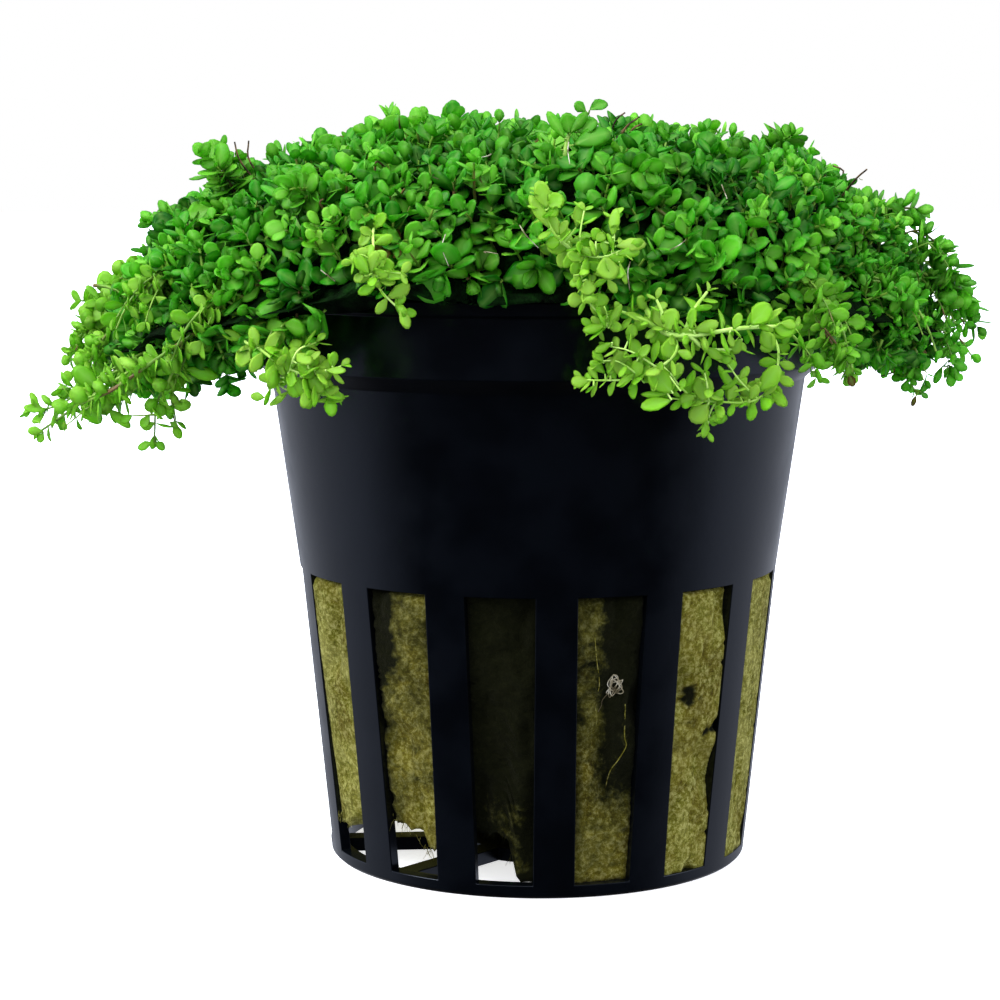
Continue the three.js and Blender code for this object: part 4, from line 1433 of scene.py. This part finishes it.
def bare_roots(root, rng):
    """The bare roots in given places and a few more anywhere on the mat. Where a climb is below 0,
    the root hangs straight down from the mat's edge."""
    routes = list(BARE_ROOTS)
    for _ in range(8):
        azimuth = rng.uniform(0, 360)
        climb = rng.uniform(-0.06, 0.6)
        steps = rng.normal(0, 1, (3, 2)).cumsum(axis=0)
        routes.append(
            [(azimuth + 1.5 * x, climb + 0.02 * y, rng.uniform(0.4, 1.2)) for x, y in steps]
        )
    lines = []
    for route in routes:
        lines.append([])
        for azimuth, climb, lift in route:
            place = on_mat(azimuth, max(climb, 0)) + outward(azimuth) * lift
            place.z += 14 * min(climb, 0) + 0.3 * lift
            lines[-1].append(place)
    strands("bare_roots", lines, root, 0.05, 0.03)


def bare_stalks(stalk, rng):
    """The withered stalks in given places, each from a foot inside the leaves, and a few more
    anywhere."""
    lines = []
    for route in BARE_STALKS:
        places = [Vector(place) for place in route]
        sink = 2 if places[0].z > 50 else -2
        foot = places[0] - outward(azimuth_of(places[0])) * 1.5 - Vector((0, 0, sink))
        lines.append([foot, *places])
    for _ in range(9):
        azimuth = rng.uniform(0, 360)
        foot = on_mat(azimuth, rng.uniform(0.15, 0.9))
        course = outward(azimuth + rng.uniform(-50, 50)) * 1.2 + Vector((0, 0, rng.uniform(0.4, 1.6)))
        tip = foot + course + Vector(rng.normal(0, 0.3, 3))
        lines.append([foot - course * 0.8, foot + course * 0.4, tip])
    strands("bare_stalks", lines, stalk, 0.1, 0.07)


# The camera, the floor and the lights


def place_camera():
    data = bpy.data.cameras.new("camera")
    data.sensor_width = SENSOR_WIDTH
    data.lens = FOCAL_PIXELS / FRAME_PIXELS * SENSOR_WIDTH
    data.clip_start = 0.01
    data.clip_end = 20
    camera = bpy.data.objects.new("camera", data)
    camera.location = Vector((0, -CAMERA_DISTANCE, CAMERA_HEIGHT)) * MM
    camera.rotation_euler = Euler((math.pi / 2 - CAMERA_TILT, 0, CAMERA_TURN))
    bpy.context.collection.objects.link(camera)
    bpy.context.scene.camera = camera


def place_floor():
    """A sheet of white paper, lit a little from within so that it is as bright as in the
    photograph."""
    bm = bmesh.new()
    bmesh.ops.create_grid(bm, x_segments=1, y_segments=1, size=4)
    mesh = bpy.data.meshes.new("floor")
    bm.to_mesh(mesh)
    bm.free()
    floor = bpy.data.objects.new("floor", mesh)
    bpy.context.collection.objects.link(floor)
    material, tree = new_material("white_paper_sweep")
    paper = {
        "Base Color": linear("#f4f5f6"),
        "Roughness": 0.9,
        "Emission Color": (1, 1, 1, 1),
        "Emission Strength": 0.7,
    }
    finished(material, add_node(tree, "BsdfPrincipled", paper)["BSDF"])
    mesh.materials.append(material)
    floor.visible_glossy = False
    floor.visible_diffuse = False


def place_lights():
    """White walls at both sides and behind, a bright ceiling, a pale floor and a dim front, with soft
    lights overhead, at the left and, weaker, at the right. Only the walls are mirrored in gloss, and
    the camera sees white all round."""
    world = bpy.data.worlds.new("studio")
    world.use_nodes = True
    tree = world.node_tree
    tree.nodes.clear()
    heading = add_node(tree, "TexCoord")["Generated"]
    axes = add_node(tree, "SeparateXYZ", {0: heading})
    skew = {0: axes["X"], 1: -0.04, 2: axes["Y"]}
    skewed = add_node(tree, "Math", skew, operation="MULTIPLY_ADD")[0]
    walls = add_node(tree, "MapRange", {0: skewed, 1: -0.5, 2: 0.0, 3: 0.04, 4: 0.75})["Result"]
    height = add_node(tree, "MapRange", {0: axes["Z"], 1: -0.8, 2: 0.0, 3: 0.05, 4: 1.0})["Result"]
    ceiling = add_node(tree, "MapRange", {0: axes["Z"], 1: 0.0, 2: 0.6, 3: 0.38, 4: 1.9})["Result"]
    ground = add_node(tree, "MapRange", {0: axes["Z"], 1: -0.3, 2: -0.9, 3: 0.38, 4: 0.9})["Result"]
    rays = add_node(tree, "LightPath")
    matt = add_node(tree, "Math", {0: 1.0, 1: rays["Is Glossy Ray"]}, operation="SUBTRACT")[0]
    level = add_node(tree, "Math", {0: ceiling, 1: ground}, operation="ADD")[0]
    sides = add_node(tree, "Math", {0: walls, 1: height}, operation="MULTIPLY")[0]
    both_kinds = {0: level, 1: matt, 2: sides}
    strength = add_node(tree, "Math", both_kinds, operation="MULTIPLY_ADD")[0]
    lit = add_node(tree, "Background", {"Color": linear("#e9efff"), "Strength": strength})[0]
    seen = add_node(tree, "Background", {"Color": (1, 1, 1, 1), "Strength": 1.0})[0]
    studio = add_node(tree, "MixShader", {0: rays["Is Camera Ray"], 1: lit, 2: seen})[0]
    add_node(tree, "OutputWorld", {"Surface": studio})
    bpy.context.scene.world = world
    softbox("overhead_softbox", (-0.05, -0.12, 0.6), (0.5, 0.4), 1.8)
    softbox("left_softbox", (-0.5, -0.25, 0.42), (0.35, 0.35), 3.8)
    softbox("right_softbox", (0.5, -0.15, 0.25), (0.35, 0.35), 0.8)


def softbox(name, place, size, power):
    """A soft rectangular light turned to the plant."""
    data = bpy.data.lights.new(name, "AREA")
    data.shape = "RECTANGLE"
    data.size, data.size_y = size
    data.energy = power
    light = bpy.data.objects.new(name, data)
    light.location = place
    aim = Vector((0, 0, MAT_CROWN * MM)) - Vector(place)
    light.rotation_euler = aim.to_track_quat("-Z", "Y").to_euler()
    bpy.context.collection.objects.link(light)


# Everything in its place

place_camera()
place_floor()
place_lights()
bpy.context.scene.view_settings.view_transform = "Standard"

rng = np.random.default_rng(7)
wool = mineral_wool()
root = root_fibre()
leaf = living_leaf()
plant_materials = (leaf, green_stem())

net_pot(moulded_polypropylene())
wool_plug(wool)
wool_fibres(wool, root, rng)
thatch_core_painted_shade(thatch_painted_with_shade())
for number, spray in enumerate(dome_shoots(dome_spots(rng), rng), 1):
    spray.piece(f"dome_leaves_{number}", plant_materials, "leaf", "leaf_mat", 0)
skirt_sprays(plant_materials, rng)
shoulder_sprays(plant_materials, rng)
crown_sprays(plant_materials, rng)
front_sprays((leaf, young_stem()), rng)
bare_roots(root, rng)
bare_stalks(withered_stalk(), rng)
